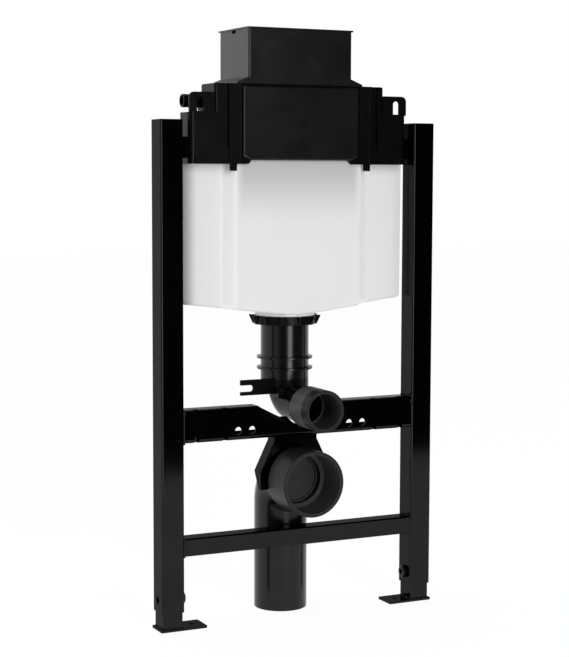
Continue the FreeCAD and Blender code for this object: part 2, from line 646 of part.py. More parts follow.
def outlet_sleeve():
    """The sleeve under the cistern, with two rings and an inner collar for the flush bend."""
    body = piece("outlet_sleeve")
    outer, inner, ring = "sleeve / 2", "sleeve / 2 - sleeve_wall", "sleeve_ring / 2"
    low, high = "sleeve_ring_low", "sleeve_ring_low + sleeve_ring_pitch"
    hold = "flush_pipe / 2 + collar_gap"
    collar = "flush_height + flush_bend_radius"
    half = sketch_on(body, "XZ_Plane", z="-flush_back")
    corners = [(inner, "sleeve_bottom"), (outer, "sleeve_bottom")]
    for level in (low, high):
        corners += [(outer, level), (ring, level), (ring, level + " + sleeve_ring_height"),
                    (outer, level + " + sleeve_ring_height")]
    corners += [(outer, "sleeve_top"), (inner, "sleeve_top"), (inner, collar + " + collar_height"),
                (hold, collar + " + collar_height"), (hold, collar), (inner, collar)]
    outline(half, corners)
    revolve(body, half, axis="V_Axis")
    saddle = sketch_on(body, "XZ_Plane", z="-flush_back")
    circle(saddle, "0", "flush_height", hold)
    pocket(body, saddle, "sleeve", forward=True)


def outlet_nut():
    """The wide ribbed nut that holds the sleeve to the outlet boss of the tank."""
    body = piece("outlet_nut")
    low, high = "sleeve_top", "sleeve_top + nut_height"
    half = sketch_on(body, "XZ_Plane", z="-flush_back")
    rectangle(half, "sleeve / 2 - sleeve_wall", "nut_width / 2", low, high)
    revolve(body, half, axis="V_Axis")
    rib = sketch_on(body, "XZ_Plane", z="-flush_back")
    outline(rib, [("sleeve / 2", low), ("nut_bottom_width / 2", low), ("nut_top_width / 2", high),
                  ("sleeve / 2", high)])
    repeat_round(body, pad(body, rib, "nut_rib", both=True), rib, "nut_ribs")


def flush_bend():
    """A right-angle bend from the sleeve to the flush socket, moulded in one."""
    body = piece("flush_bend")
    outer, inner = "flush_pipe / 2", "flush_pipe / 2 - flush_wall"
    tail = sketch_on(body, "XY_Plane", z="flush_height + flush_bend_radius")
    turn = sketch_on(body, "XY_Plane", y="flush_back - flush_bend_radius",
                     z="flush_height + flush_bend_radius")
    for radius in (outer, inner):
        circle(tail, "0", "flush_back", radius)
        circle(turn, "0", "flush_bend_radius", radius)
    pad(body, tail, "flush_tail")
    revolve(body, turn, angle="90", back=True)
    start = "flush_back - flush_bend_radius"
    mouth, recess = "-flush_reach", "flush_seal_depth - flush_reach"
    pipe = "flush_socket_length - flush_reach"
    shoulder = "flush_socket_length - flush_reach - flush_shoulder"
    seat = "flush_socket_length - flush_reach - flush_shoulder - flush_wall"
    half = sketch_on(body, "YZ_Plane", y="flush_height")
    outline(half, [(start, inner), (start, outer), (pipe, outer), (shoulder, "flush_socket / 2"),
                   (mouth, "flush_socket / 2"), (mouth, "flush_bore / 2 + flush_seal_wall"),
                   (recess, "flush_bore / 2 + flush_seal_wall"), (recess, "flush_bore / 2"),
                   (seat, "flush_bore / 2"), (seat, inner)])
    revolve(body, half)


def flush_lug():
    """The fork on the sleeve, open to the left."""
    body = piece("flush_lug")
    tip, throat = "-lug_tip", "lug_slot_length - lug_tip"
    top = "lug_bottom + lug_height"
    slot_low = "lug_bottom + lug_slot_bottom"
    slot_high = "lug_bottom + lug_slot_bottom + lug_slot"
    end = "-sleeve / 4"
    plate = sketch_on(body, "XZ_Plane", z="-lug_place")
    outline(plate, [(tip, "lug_bottom"), (end, "lug_bottom"), (end, top), (tip, top), (tip, slot_high),
                    (throat, slot_high, "0.48 * lug_slot"), (throat, slot_low, "0.48 * lug_slot"),
                    (tip, slot_low)])
    pad(body, plate, "lug_plate", both=True)
    seat = sketch_on(body, "XY_Plane", z="lug_bottom")
    circle(seat, "0", "flush_back", "sleeve / 2")
    pocket(body, seat, "4 * lug_height")


# Cistern

def tank_outline(sketch, inset, corner):
    """The tank in plan, with a stepped front, drawn in by an inset."""
    panel, step = f"tank_panel / 2 - {inset}", f"tank_panel / 2 + tank_step - {inset}"
    front, side = f"{inset} - tank_front", f"{inset} + tank_step - tank_front"
    right = [(panel, front, "tank_crease"), (step, side, "tank_crease"),
             (f"{TANK_END} - {inset}", side, corner),
             (f"{TANK_BACK} - {inset}", f"tank_back - {inset}", corner)]
    left = [(f"-({x})", y, radius) for x, y, radius in reversed(right)]
    outline(sketch, right + left)


def tank_form(body, inset):
    """The tank's form with its V-shaped bottom, drawn in by an inset all round but the top."""
    plan = sketch_on(body, "XY_Plane", z="tank_middle_bottom")
    tank_outline(plan, inset, f"tank_corner - {inset}")
    pad(body, plan, "tank_top - tank_middle_bottom")
    reach, low = f"2 * {TANK_END}", f"tank_middle_bottom - {TANK_END}"
    keel = f"tank_middle_bottom + {inset}"
    high = f"{keel} + 2 * (tank_end_bottom - tank_middle_bottom)"
    under = sketch_on(body, "XZ_Plane")
    outline(under, [(f"-{reach}", low), (reach, low), (reach, high), ("0", keel, "tank_keel"),
                    (f"-{reach}", high)])
    pocket(body, under, "4 * tank_back")
    level = value("(tank_end_bottom + tank_top) / 2")
    round_edges(body, f"tank_bottom_edge - {inset}",
                lambda edge: edge.BoundBox.ZMax < level and edge.BoundBox.XLength > 1)


def apron_outline(sketch, gap):
    """The front apron of the tank between the joint and the housing, drawn in by a gap."""
    low, high = f"apron_width / 2 + apron_slope - {gap}", f"apron_width / 2 - {gap}"
    top = f"{HOUSING_BOTTOM} - {gap}"
    outline(sketch, [(f"-({low})", "tank_top"), (low, "tank_top"), (high, top), (f"-({high})", top)])


def cistern_tank():
    """A moulded shell with a stepped front, a V-shaped bottom and an outlet boss, open at the top."""
    outer = doc.addObject("PartDesign::Body", "tank_outside")
    tank_form(outer, "0")
    boss = sketch_on(outer, "XY_Plane", z="sleeve_top + nut_height")
    circle(boss, "0", "flush_back", "boss_width / 2")
    pad(outer, boss, "tank_middle_bottom - sleeve_top - nut_height + 3 * tank_wall")
    apron = sketch_on(outer, "XZ_Plane", z="tank_front - tank_wall")
    apron_outline(apron, "apron_gap")
    pad(outer, apron, "tank_wall")
    cavity = doc.addObject("PartDesign::Body", "tank_inside")
    tank_form(cavity, "tank_wall")
    shell = doc.addObject("Part::Cut", "cistern_tank")
    shell.Label = "cistern_tank"
    shell.Base = outer
    shell.Tool = cavity
    pieces.append(shell)


def cistern_lid():
    """The lid with low ends, a raised middle, and a cut-out in front for the apron of the tank."""
    body = piece("cistern_lid")
    ends = sketch_on(body, "XY_Plane", z="tank_top")
    middle = sketch_on(body, "XY_Plane", z="tank_top")
    for sketch, end, rear, flat, corner in (
            (ends, LID_END, LID_BACK, "lid_side", "lid_front_corner"),
            (middle, MIDDLE_END, MIDDLE_BACK, "lid_middle_side", "lid_corner")):
        right = [(end, "-lid_front", corner), (end, f"{flat} - lid_front", "lid_corner"),
                 (rear, "lid_back", "lid_corner")]
        left = [(f"-{x}", y, radius) for x, y, radius in reversed(right)]
        outline(sketch, right + left)
    pad(body, ends, "lid_end_height")
    pad(body, middle, "lid_middle_height")
    level = value(LID_TOP) - value("lid_top_edge") / 2
    round_edges(body, "lid_top_edge", lambda edge: edge.BoundBox.ZMin > level)
    well = sketch_on(body, "XY_Plane", z="tank_top")
    tank_outline(well, "tank_wall", "tank_corner")
    pocket(body, well, "lid_end_height - lid_wall", forward=True)
    dome = sketch_on(body, "XY_Plane", z=f"{LID_SHOULDER} - 2 * lid_wall")
    rectangle(dome, f"lid_wall - {MIDDLE_BACK}", f"{MIDDLE_BACK} - lid_wall",
              "2 * lid_wall - lid_front", "lid_back - 2 * lid_wall", "lid_corner")
    pocket(body, dome, "lid_middle_height - lid_end_height + lid_wall", forward=True)
    opening = sketch_on(body, "XZ_Plane", z="tank_front - tank_wall")
    apron_outline(opening, "0")
    pocket(body, opening, "2 * lid_front", forward=True)
    channels = sketch_on(body, "XZ_Plane", z="lid_front - lid_channel")
    rims = sketch_on(body, "XZ_Plane", z="lid_front")
    for side in SIDES.values():
        panel = f"{side} * {LID_PANEL}"
        rectangle(channels, f"{side} * ({CLIP_MIDDLE} + clip_width / 2)", panel,
                  "tank_top + lid_channel_rise", f"{LID_TOP} + lid_wall")
        rectangle(rims, panel, f"{side} * ({LID_END} - lid_front_corner)", "tank_top", "tank_top + lid_rim")
    pocket(body, channels, "2 * lid_channel", forward=True)
    pad(body, rims, "lid_rim_proud")


def hanging_tab(name, side):
    """An upright plate on the low end of the lid with an arched slot."""
    body = piece(name)
    inner, outer = f"{side} * {MIDDLE_END}", f"{side} * {LID_END}"
    low, high = LID_SHOULDER, f"{LID_SHOULDER} + tab_height"
    left = f"{side} * ({LID_END} - tab_slot_inset) - tab_slot / 2"
    right = f"{side} * ({LID_END} - tab_slot_inset) + tab_slot / 2"
    foot_level = f"{LID_SHOULDER} + tab_slot_foot"
    arch = f"{LID_SHOULDER} + tab_slot_foot + tab_slot_height"
    plate = sketch_on(body, "XZ_Plane", z="lid_front")
    outline(plate, [(inner, low), (outer, low), (outer, high, "tab_corner"), (inner, high)])
    outline(plate, [(left, foot_level), (right, foot_level), (right, arch, "0.48 * tab_slot"),
                    (left, arch, "0.48 * tab_slot")])
    pad(body, plate, "tab_plate", back=True)


def lid_clip(name, side):
    """A ribbed strap on the front of the lid with a hook tail below it."""
    body = piece(name)
    strap = sketch_on(body, "XZ_Plane", z="lid_front")
    inner = f"{side} * ({CLIP_MIDDLE} - clip_width / 2)"
    outer = f"{side} * ({CLIP_MIDDLE} + clip_width / 2)"
    tail_in = f"{side} * ({CLIP_MIDDLE} + clip_tail_shift - clip_tail / 2)"
    tail_out = f"{side} * ({CLIP_MIDDLE} + clip_tail_shift + clip_tail / 2)"
    tail = "tank_top - clip_tail_drop"
    outline(strap, [(inner, "tank_top"), (tail_in, "tank_top"), (tail_in, tail), (tail_out, tail),
                    (tail_out, "tank_top"), (outer, "tank_top"), (outer, LID_TOP), (inner, LID_TOP)])
    pad(body, strap, "clip_plate")
    ribs = sketch_on(body, "XZ_Plane", z="lid_front + clip_plate")
    for edge, way in ((inner, 1), (outer, -1)):
        rectangle(ribs, edge, f"{edge} + {side * way} * clip_rib", "tank_top", LID_TOP)
    pad(body, ribs, "clip_rib_height")


def front_housing():
    """The cover of the flush mechanism, with a rounded front, a catch and its lower corners cut off."""
    body = piece("front_housing")
    half = "housing_width / 2"
    right = [(f"{half} - housing_cut", HOUSING_BOTTOM), (half, f"{HOUSING_BOTTOM} + housing_cut_height"),
             (half, HOUSING_TOP, "housing_corner")]
    left = [(f"-({corner[0]})",) + corner[1:] for corner in reversed(right)]
    face = sketch_on(body, "XZ_Plane", z="lid_front")
    outline(face, right + left)
    pad(body, face, "housing_proud")
    front = value("-lid_front - housing_proud / 2")
    round_edges(body, "housing_edge", lambda edge: edge.BoundBox.YMax < front)
    catch = sketch_on(body, "XZ_Plane", z="lid_front + housing_proud")
    circle(catch, "0", f"{HOUSING_TOP} - button_drop", "button / 2")
    pad(body, catch, "button_proud")


def shaft_section(sketch, inset, corner="shaft_corner"):
    """The section of the access shaft, drawn in by an inset."""
    rectangle(sketch, f"{inset} - shaft_width / 2", f"shaft_width / 2 - {inset}",
              f"{inset} - shaft_front", f"shaft_back - {inset}", corner)


def access_shaft():
    """A rectangular duct on the lid, with sloping feet at its sides and finger notches under its cover."""
    body = piece("access_shaft")
    wall = sketch_on(body, "XY_Plane", z=LID_TOP)
    shaft_section(wall, "0")
    pad(body, wall, "shaft_height - cover_plate")
    side, toe = "shaft_width / 2", "shaft_width / 2 + shaft_foot_proud"
    lip, slope = f"{LID_TOP} + shaft_foot_lip", f"{LID_TOP} + shaft_foot"
    foot_end = sketch_on(body, "XZ_Plane", z="shaft_front")
    outline(foot_end, [(f"-({toe})", LID_TOP), (toe, LID_TOP), (toe, lip), (side, slope),
                       (f"-({side})", slope), (f"-({toe})", lip)])
    pad(body, foot_end, "shaft_front + shaft_back", back=True)
    duct = sketch_on(body, "XY_Plane", z=LID_TOP)
    shaft_section(duct, "shaft_wall")
    pocket(body, duct, "2 * shaft_height", forward=True)
    notch = sketch_on(body, "YZ_Plane")
    middle = "(shaft_back - shaft_front) / 2"
    rectangle(notch, f"{middle} - finger_notch / 2", f"{middle} + finger_notch / 2",
              f"{SHAFT_TOP} - finger_notch_height", f"{SHAFT_TOP} + finger_notch_height")
    pocket(body, notch, "2 * shaft_width")


def shaft_cover():
    """The lid of the access shaft, with a rim inside the shaft and a shallow recess on top."""
    body = piece("shaft_cover")
    plate = sketch_on(body, "XY_Plane", z=SHAFT_TOP)
    shaft_section(plate, "(-cover_proud)")
    pad(body, plate, "cover_plate")
    plug = sketch_on(body, "XY_Plane", z=SHAFT_TOP)
    shaft_section(plug, "(shaft_wall + cover_gap)")
    pad(body, plug, "cover_plug", back=True)
    inside = sketch_on(body, "XY_Plane", z=f"{SHAFT_TOP} - cover_plug")
    shaft_section(inside, "(shaft_wall + cover_gap + cover_wall)", None)
    pocket(body, inside, "cover_plug", forward=True)
    recess = sketch_on(body, "XY_Plane", z=f"{SHAFT_TOP} + cover_plate")
    shaft_section(recess, "(cover_rim - cover_proud)")
    pocket(body, recess, "2 * cover_recess")


def inlet_stub():
    """The threaded water inlet on the left side of the lid, with a neck under its nut."""
    body = piece("inlet_stub")
    for diameter, length in (("inlet_neck", "inlet_nut_height"), ("inlet_thread", "inlet_length")):
        section = sketch_on(body, "YZ_Plane", z=f"-{MIDDLE_END}")
        for circle_size in (diameter, "inlet_bore"):
            circle(section, "inlet_place", INLET_HEIGHT, f"{circle_size} / 2")
        pad(body, section, length, back=True)


def inlet_nut():
    """The lock nut on the inlet, against the lid."""
    body = piece("inlet_nut")
    section = sketch_on(body, "YZ_Plane", z=f"-{MIDDLE_END}")
    corners = [(f"inlet_place + inlet_nut / sqrt(3) * cos({60 * turn} deg)",
                f"{INLET_HEIGHT} + inlet_nut / sqrt(3) * sin({60 * turn} deg)") for turn in range(6)]
    outline(section, corners)
    circle(section, "inlet_place", INLET_HEIGHT, "inlet_neck / 2 + inlet_nut_gap")
    pad(body, section, "inlet_nut_height", back=True)


def cistern_bracket(name, side):
    """A folded bracket between the end of the lid and the upright."""
    body = piece(name)
    lid, post = f"{side} * {LID_END}", f"{side} * (frame_width / 2 - upright_width)"
    lid_inside = f"{side} * ({LID_END} + hanger_plate)"
    post_inside = f"{side} * (frame_width / 2 - upright_width - hanger_plate)"
    front, back = "-hanger_front", "hanger_depth - hanger_front"
    web = "hanger_plate - hanger_front"
    fold = sketch_on(body, "XY_Plane", z="tank_top + hanger_rise")
    outline(fold, [(lid, back), (lid, front), (post, front), (post, back), (post_inside, back),
                   (post_inside, web), (lid_inside, web), (lid_inside, back)])
    pad(body, fold, "hanger_height")


# Assembly

for hand, side in SIDES.items():
    upright(f"{hand}_upright", side)
    upright_cap(f"{hand}_upright_cap", side)
    leg(f"{hand}_leg", side)
    foot(f"{hand}_foot_plate", side)
    clamp_bolt(f"{hand}_clamp_bolt", side)
    hanging_tab(f"{hand}_hanging_tab", side)
    lid_clip(f"{hand}_lid_clip", side)
    cistern_bracket(f"{hand}_cistern_bracket", side)
lower_crossbar()
pan_crossbar()
waste_bend()
seal("waste_seal", "waste_height", "waste_reach", "waste_bore", "waste_seal_depth", "waste_seal_wall")
waste_plug()
waste_bracket()
outlet_sleeve()
outlet_nut()
flush_bend()
seal("flush_seal", "flush_height", "flush_reach", "flush_bore", "flush_seal_depth", "flush_seal_wall")
flush_lug()
cistern_tank()
cistern_lid()
front_housing()
access_shaft()
shaft_cover()
inlet_stub()
inlet_nut()

doc.recompute()
for item in doc.Objects:
    if "Invalid" in item.State or "Error" in item.State:
        raise ValueError(item.Label + " failed to build")
os.makedirs("parts", exist_ok=True)
for body in pieces:
    if body.Shape.isNull() or not body.Shape.isValid():
        raise ValueError(body.Label + " has no valid shape")
for body in pieces:
    body.Shape.exportStep(f"parts/{body.Label}.step")
    box = body.Shape.BoundBox
    print(body.Label, len(body.Shape.Solids), round(body.Shape.Volume / 1000, 1), box)
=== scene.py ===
"""Looks of a wall hung toilet frame: coated steel, black mouldings, a white tank and a studio stage."""
import json
import math

import bmesh
import bpy
from bpy.props import FloatProperty, FloatVectorProperty, PointerProperty, StringProperty
from mathutils import Euler, Matrix, Vector


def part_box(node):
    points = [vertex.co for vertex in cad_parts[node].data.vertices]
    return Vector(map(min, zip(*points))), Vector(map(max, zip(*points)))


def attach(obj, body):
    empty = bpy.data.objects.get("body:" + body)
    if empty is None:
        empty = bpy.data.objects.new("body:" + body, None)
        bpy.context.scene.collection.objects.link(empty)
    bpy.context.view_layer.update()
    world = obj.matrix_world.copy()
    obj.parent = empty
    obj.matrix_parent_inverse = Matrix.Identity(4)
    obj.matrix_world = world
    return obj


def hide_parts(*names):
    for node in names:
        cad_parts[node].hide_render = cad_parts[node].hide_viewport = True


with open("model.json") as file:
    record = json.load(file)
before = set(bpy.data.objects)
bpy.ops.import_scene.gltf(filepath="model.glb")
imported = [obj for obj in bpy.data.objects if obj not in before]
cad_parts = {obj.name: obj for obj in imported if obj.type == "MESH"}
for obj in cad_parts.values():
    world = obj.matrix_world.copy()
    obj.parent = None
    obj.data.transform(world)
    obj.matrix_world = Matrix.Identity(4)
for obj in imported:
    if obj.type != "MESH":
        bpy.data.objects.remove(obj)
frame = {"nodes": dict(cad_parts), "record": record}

bl_info = {
    "name": "Wall hung toilet frame",
    "version": (1, 0, 0),
    "blender": (4, 5, 0),
    "location": "View3D > Sidebar > Toilet frame",
    "description": "Dresses the packed toilet frame with finishes, edges, welds and a studio stage",
    "category": "Object",
}

MM = 0.001
MERGE = 0.001 * MM
FLAT, SHARP = math.radians(0.5), math.radians(32)
BEVEL_STEPS = 2
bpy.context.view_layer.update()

# Bodies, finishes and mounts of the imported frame
BODY_OF = {node: body for body, nodes in frame["record"]["behaviour"]["bodies"].items() for node in nodes}
SLOT_OF = {part["node"]: part["material_slot"] for part in frame["record"]["subparts"]}
MOUNTS = {mount["name"]: mount for mount in frame["record"]["mounts"]}
HANDS = {"left": -1, "right": 1}
PIPES = ("waste_bend", "outlet_sleeve", "flush_bend")

# Tank's front corners in plan: radius, step of the panels before them, wall, height of the bottom, and turn
TANK_ROUND, TANK_STEP, TANK_WALL, TANK_FOOT = 12 * MM, 17 * MM, 3 * MM, 33 * MM
TANK_TURN = math.radians(115.8)

# Boss on the flush bend, and the pip on the lid with its profile in shares of its sink and its radius
BOSS_LOW, BOSS_HIGH, BOSS_DRAFT = Vector((-33, 0, 367)) * MM, Vector((-22, 26, 384)) * MM, 0.8 * MM
PIP_X, PIP_Z = -148.3 * MM, 784.8 * MM
PIP_PROFILE = ((0, 1), (1.2, 0.92), (1.8, 0.6), (2, 0.2))

# Weld beads and thread: how much the beads differ, their seed, their roundness, and steps of the thread
WELD_LEAST, WELD_MOST, WELD_SEED, BEAD_ROUNDNESS = (0.85,) * 3, (1.1,) * 3, 7, 2
THREAD_STEPS, RIDGE_SIDES = 40, 4

# Grain of moulded plastic: flow marks, and spark erosion. Its real grains are about 0.2 mm, too fine to show
# in the render, so they are drawn coarser.
FLOW, SPARK, SPARK_DEPTH = 45 * MM, 0.9 * MM, 0.012 * MM
# The middle range of a noise, which is spread over a finish's roughness
NOISE_LOW, NOISE_HIGH = 0.3, 0.7

# Faces that the pipes' finish tells apart: radius of a socket's outside, half the width of its seat, and what
# a mask takes in beyond a wall, an outside and an end
SOCKET_OUTSIDE = {"waste_socket": 55 * MM, "flush_socket": 34.5 * MM}
SEAT_HALF, WALL_MARGIN, COLLAR_MARGIN, END_MARGIN = 3.5 * MM, 0.4 * MM, 5 * MM, 1 * MM
# The bend behind the waste socket, the neck of the flush bend, and where the ring at its mouth ends
BEND_MARGIN, BEND_BACK, NECK_REACH, RING_BACK = 5.5 * MM, 30 * MM, 40 * MM, -85 * MM
PIPE_GLOSS, DULL_GLOSS = 0.29, 0.1
PIPE_ROUGH, SOCKET_ROUGH = 0.2, 0.38

# Painted shade and light on the tank's front, each a share of its white, with where it begins and is full
# along an axis: painted shade on the upper middle under the housing, painted shade beside the left end where
# the upright stands, and painted light on the creases
TANK_PAINTED_SHADING = (
    (0.62, (("aside", 118 * MM, 98 * MM), ("Z", 650 * MM, 765 * MM))),
    (0.2, (("X", -174 * MM, -204 * MM),)),
    (1.2, (("aside", 111 * MM, 118 * MM), ("aside", 136 * MM, 129 * MM))),
)
TANK_FRONT = ("Y", 60 * MM, 40 * MM)

# Backdrop as reflections see it, in parts of a heading: its edge, the room's light, and a band on the right
BACKDROP_EDGE, ROOM_LIGHT = 0.35, 0.02
BAND_RISE, BAND_FALL, BAND_RIGHT = (0.105, 0.156), (0.375, 0.574), (-0.1, 0.2)
FLOOR_GLOW, FLOOR_GREY = 0.94, [0.1, 0.1, 0.1, 1.0]
SENSOR = 36


# Settings

def colour(label, about, code):
    """A setting for a colour, as sRGB hex."""
    return StringProperty(name=label, description=about, default=code)


def length(label, about, size):
    """A setting for a length in metres."""
    return FloatProperty(name=label, description=about, default=size, unit="LENGTH", precision=6)


def angle(label, about, degrees):
    """A setting for an angle."""
    return FloatProperty(name=label, description=about, default=math.radians(degrees), subtype="ANGLE")


def share(label, about, part):
    """A setting for a share from nought to one."""
    return FloatProperty(name=label, description=about, default=part, min=0.0, max=1.0, subtype="FACTOR")


class FrameFinishes(bpy.types.PropertyGroup):
    """Colours of the finishes."""
    coat: colour("Steel coat", "Gloss black coat of the steel", "#292929")
    moulding: colour("Black ABS", "Access shaft and front housing", "#0a0a0a")
    lid: colour("Black polypropylene", "Lid and its small parts", "#060606")
    pipe: colour("Black polyethylene", "Waste and flush pipes", "#0b0b0b")
    # Painted light: the sockets' bores are painted a lighter grey, standing in for light falling on their
    # walls
    lining: colour("Socket lining", "Grey rubber in the sockets", "#3c3c3c")
    # Painted light: the sockets' outsides are painted greys, standing in for light on them
    waste_collar: colour("Waste socket", "Duller black of the waste socket's outside", "#272727")
    flush_collar: colour("Flush socket", "Dark grey of the flush socket's outside", "#505050")
    plug: colour("Plug", "Grey polyethylene of the transport plug", "#333333")
    tank: colour("Tank", "White polyethylene of the tank", "#ebebec")
    rubber: colour("Rubber", "Seal rings", "#101010")
    bolt: colour("Clamp bolts", "Black oxide on the bolts", "#1a1a1b")
    floor: colour("Floor", "Pale studio floor", "#ffffff")


class FrameEdges(bpy.types.PropertyGroup):
    """Sizes of small work that the solids leave out."""
    steel_edge: length("Steel edge", "Rounding of cut steel edges", 0.5 * MM)
    moulding_edge: length("Moulding edge", "Rounding of moulded edges", 0.9 * MM)
    pipe_edge: length("Pipe edge", "Rounding of the pipes' cut ends", 0.5 * MM)
    tank_edge: length("Tank edge", "Rounding of the tank's sharp edges", 1.5 * MM)
    tank_squareness: share("Tank squareness", "How far the tank's front corners are squared", 0.75)
    pip: length("Lid pip", "Radius of the pip on the left end of the lid", 2.4 * MM)
    pip_sink: length("Pip sink", "How far the pip is sunk in the lid", 0.7 * MM)
    bolt_shank: length("Bolt shank", "Radius of the clamp bolt's shank", 4 * MM)
    bolt_edge: length("Bolt edge", "Chamfer of the clamp bolt's head", 2 * MM)
    bolt_socket: length("Bolt socket", "Hexagon socket across its flats", 8 * MM)
    bolt_socket_depth: length("Bolt socket depth", "Depth of the hexagon socket", 4.5 * MM)
    weld_bead: length("Weld bead", "Radius of the weld seams", 1.8 * MM)
    weld_pitch: length("Weld pitch", "Spacing of the ripples in a weld", 1.5 * MM)
    thread_pitch: length("Thread pitch", "Pitch of the half inch inlet thread", 1.814 * MM)
    thread_depth: length("Thread depth", "Depth of the inlet thread", 1.0 * MM)


class FrameStage(bpy.types.PropertyGroup):
    """Camera, floor and studio light."""
    camera_place: FloatVectorProperty(name="Camera", description="Place of the camera", subtype="TRANSLATION",
                                      default=(-1.2234, -2.4607, 0.7422), size=3, unit="LENGTH")
    camera_down: angle("Look down", "Angle below the horizon", 5.388)
    camera_turn: angle("Turn", "Turn from straight ahead to the right", 26.015)
    camera_roll: angle("Roll", "Roll about the line of sight", 0.148)
    camera_lens: FloatProperty(name="Lens", description="Focal length in millimetres", default=90.89,
                               unit="CAMERA")
    floor_front: length("Floor front", "Front edge of the floor, before the origin", 1.33)
    floor_reach: length("Floor reach", "Half width and depth of the floor", 12.0)
    band_dim: share("Dim band", "How much the backdrop's band over the horizon is dimmed", 0.75)
    backdrop_turn: angle("Backdrop turn", "How far the backdrop reaches round to the left", 27)
    softbox_distance: length("Softbox distance", "Front softbox before the origin", 4.0)
    softbox_width: length("Softbox width", "Front softbox across", 1.4)
    softbox_height: length("Softbox height", "Front softbox, upright", 4.0)
    softbox_centre: length("Softbox centre", "Middle of the front softbox above the floor", 1.5)
    softbox_power: FloatProperty(name="Softbox power", description="Front softbox in watts", default=120.0,
                                 unit="POWER")


class FrameSettings(bpy.types.PropertyGroup):
    """All settings of the toilet frame."""
    finishes: PointerProperty(name="Finishes", description="Colours of the finishes", type=FrameFinishes)
    edges: PointerProperty(name="Edges", description="Sizes of small work", type=FrameEdges)
    stage: PointerProperty(name="Stage", description="Camera, floor and studio light", type=FrameStage)


# Materials

def linear(code, part=1.0):
    """An sRGB hex colour, or a share of its light, as linear red, green, blue and alpha."""
    channels = [int(code[place:place + 2], 16) / 255 for place in (1, 3, 5)]
    levels = [c / 12.92 if c <= 0.04045 else ((c + 0.055) / 1.055) ** 2.4 for c in channels]
    return [level * part for level in levels] + [1.0]


def add_node(tree, kind, values=(), **settings):
    """A node with its settings. A value is set on the socket of that name or number; a socket, or a node's
    output, is linked to it."""
    made = tree.nodes.new(kind)
    for name, setting in settings.items():
        setattr(made, name, setting)
    for name, given in dict(values).items():
        if isinstance(given, bpy.types.Node):
            given = next(output for output in given.outputs if output.enabled)
        if isinstance(given, bpy.types.NodeSocket):
            tree.links.new(given, made.inputs[name])
        else:
            made.inputs[name].default_value = given
    return made


def blank_material(name):
    """A new node material with nothing in it, and the place it reads patterns from."""
    made = bpy.data.materials.new(name)
    made.use_nodes = True
    made.node_tree.nodes.clear()
    place = add_node(made.node_tree, "ShaderNodeTexCoord").outputs["Object"]
    return made, made.node_tree, place


def finished(made, inputs):
    """A material with a principled surface of these inputs."""
    shader = add_node(made.node_tree, "ShaderNodeBsdfPrincipled", inputs)
    add_node(made.node_tree, "ShaderNodeOutputMaterial", {"Surface": shader})
    return made


def surface(tree, place, code, patch, tones, sheen, grain, depth, detail=2.0):
    """Colour, roughness and relief of a surface: patches vary its tone and roughness, and grains raise it.
    Sizes are in metres, tones are shares of the colour, and sheen is the least and the most roughness."""
    patches = add_node(tree, "ShaderNodeTexNoise", {"Vector": place, "Scale": 1 / patch, "Detail": 2.0})
    grains = add_node(tree, "ShaderNodeTexNoise", {"Vector": place, "Scale": 1 / grain, "Detail": detail})
    dark, light = (linear(code, part) for part in tones)
    smooth, rough = sheen
    return {
        "Base Color": add_node(tree, "ShaderNodeMix", {0: patches, 6: dark, 7: light}, data_type="RGBA"),
        "Roughness": add_node(tree, "ShaderNodeMapRange", {
            "Value": patches, "From Min": NOISE_LOW, "From Max": NOISE_HIGH,
            "To Min": smooth, "To Max": rough}),
        "Normal": add_node(tree, "ShaderNodeBump", {"Height": grains, "Distance": depth, "Strength": 1.0}),
    }


def gloss_powder_coat(code):
    """Steel with a gloss black coat: near-mirror but weak reflections, softened by a fine orange peel."""
    made, tree, place = blank_material("gloss_powder_coat")
    skin = surface(tree, place, code, patch=60 * MM, tones=(0.85, 1.1), sheen=(0.085, 0.115), grain=3 * MM,
                   depth=0.004 * MM, detail=1.0)
    return finished(made, {**skin, "Metallic": 1.0, "Specular Tint": (0.565, 0.565, 0.57, 1.0)})


def moulded_plastic(name, code, gloss, sheen):
    """Injection-moulded plastic: a satin face with spark-eroded grain and faint flow shading."""
    made, tree, place = blank_material(name)
    skin = surface(tree, place, code, FLOW, (0.85, 1.15), sheen, SPARK, SPARK_DEPTH)
    return finished(made, {**skin, "Specular IOR Level": gloss})


def polished_abs(code):
    """ABS from a polished mould: the shaft mirrors the bright backdrop."""
    return moulded_plastic("polished_abs", code, gloss=0.5, sheen=(0.23, 0.28))


def satin_abs(code):
    """ABS from a lightly etched mould: the housing is a shade duller than the shaft."""
    return moulded_plastic("satin_abs", code, gloss=0.3, sheen=(0.25, 0.3))


def matt_polypropylene(code):
    """Talc-filled polypropylene: the lid and its clips are a deep black that mirrors little."""
    return moulded_plastic("matt_polypropylene", code, gloss=0.1, sheen=(0.27, 0.33))


def plug_polyethylene(code):
    """Soft grey polyethylene: an even tone with hardly any gloss."""
    return moulded_plastic("plug_polyethylene", code, gloss=0.15, sheen=(0.35, 0.45))


def socket_masks(tree, parts, name):
    """Where a pipe is a level socket's bore, where it is its outside, and the reach from its axis."""
    socket = MOUNTS[name]
    centre, bore = Vector(socket["pos_m"]), socket["dims"]["r_mm"] * MM
    level = add_node(tree, "ShaderNodeCombineXYZ", {"X": parts["X"], "Y": centre.y, "Z": parts["Z"]})
    reach = add_node(tree, "ShaderNodeVectorMath", {0: level, 1: centre}, operation="DISTANCE")
    half = socket["dims"]["length_mm"] * MM / 2 + END_MARGIN
    along = add_node(tree, "ShaderNodeMath", {0: parts["Y"], 1: centre.y, 2: half}, operation="COMPARE")
    masks = []
    for radius, margin in ((bore - SEAT_HALF, SEAT_HALF + WALL_MARGIN),
                           (SOCKET_OUTSIDE[name], COLLAR_MARGIN)):
        ring = add_node(tree, "ShaderNodeMath", {0: reach, 1: radius, 2: margin}, operation="COMPARE")
        masks.append(add_node(tree, "ShaderNodeMath", {0: ring, 1: along}, operation="MULTIPLY"))
    return *masks, reach


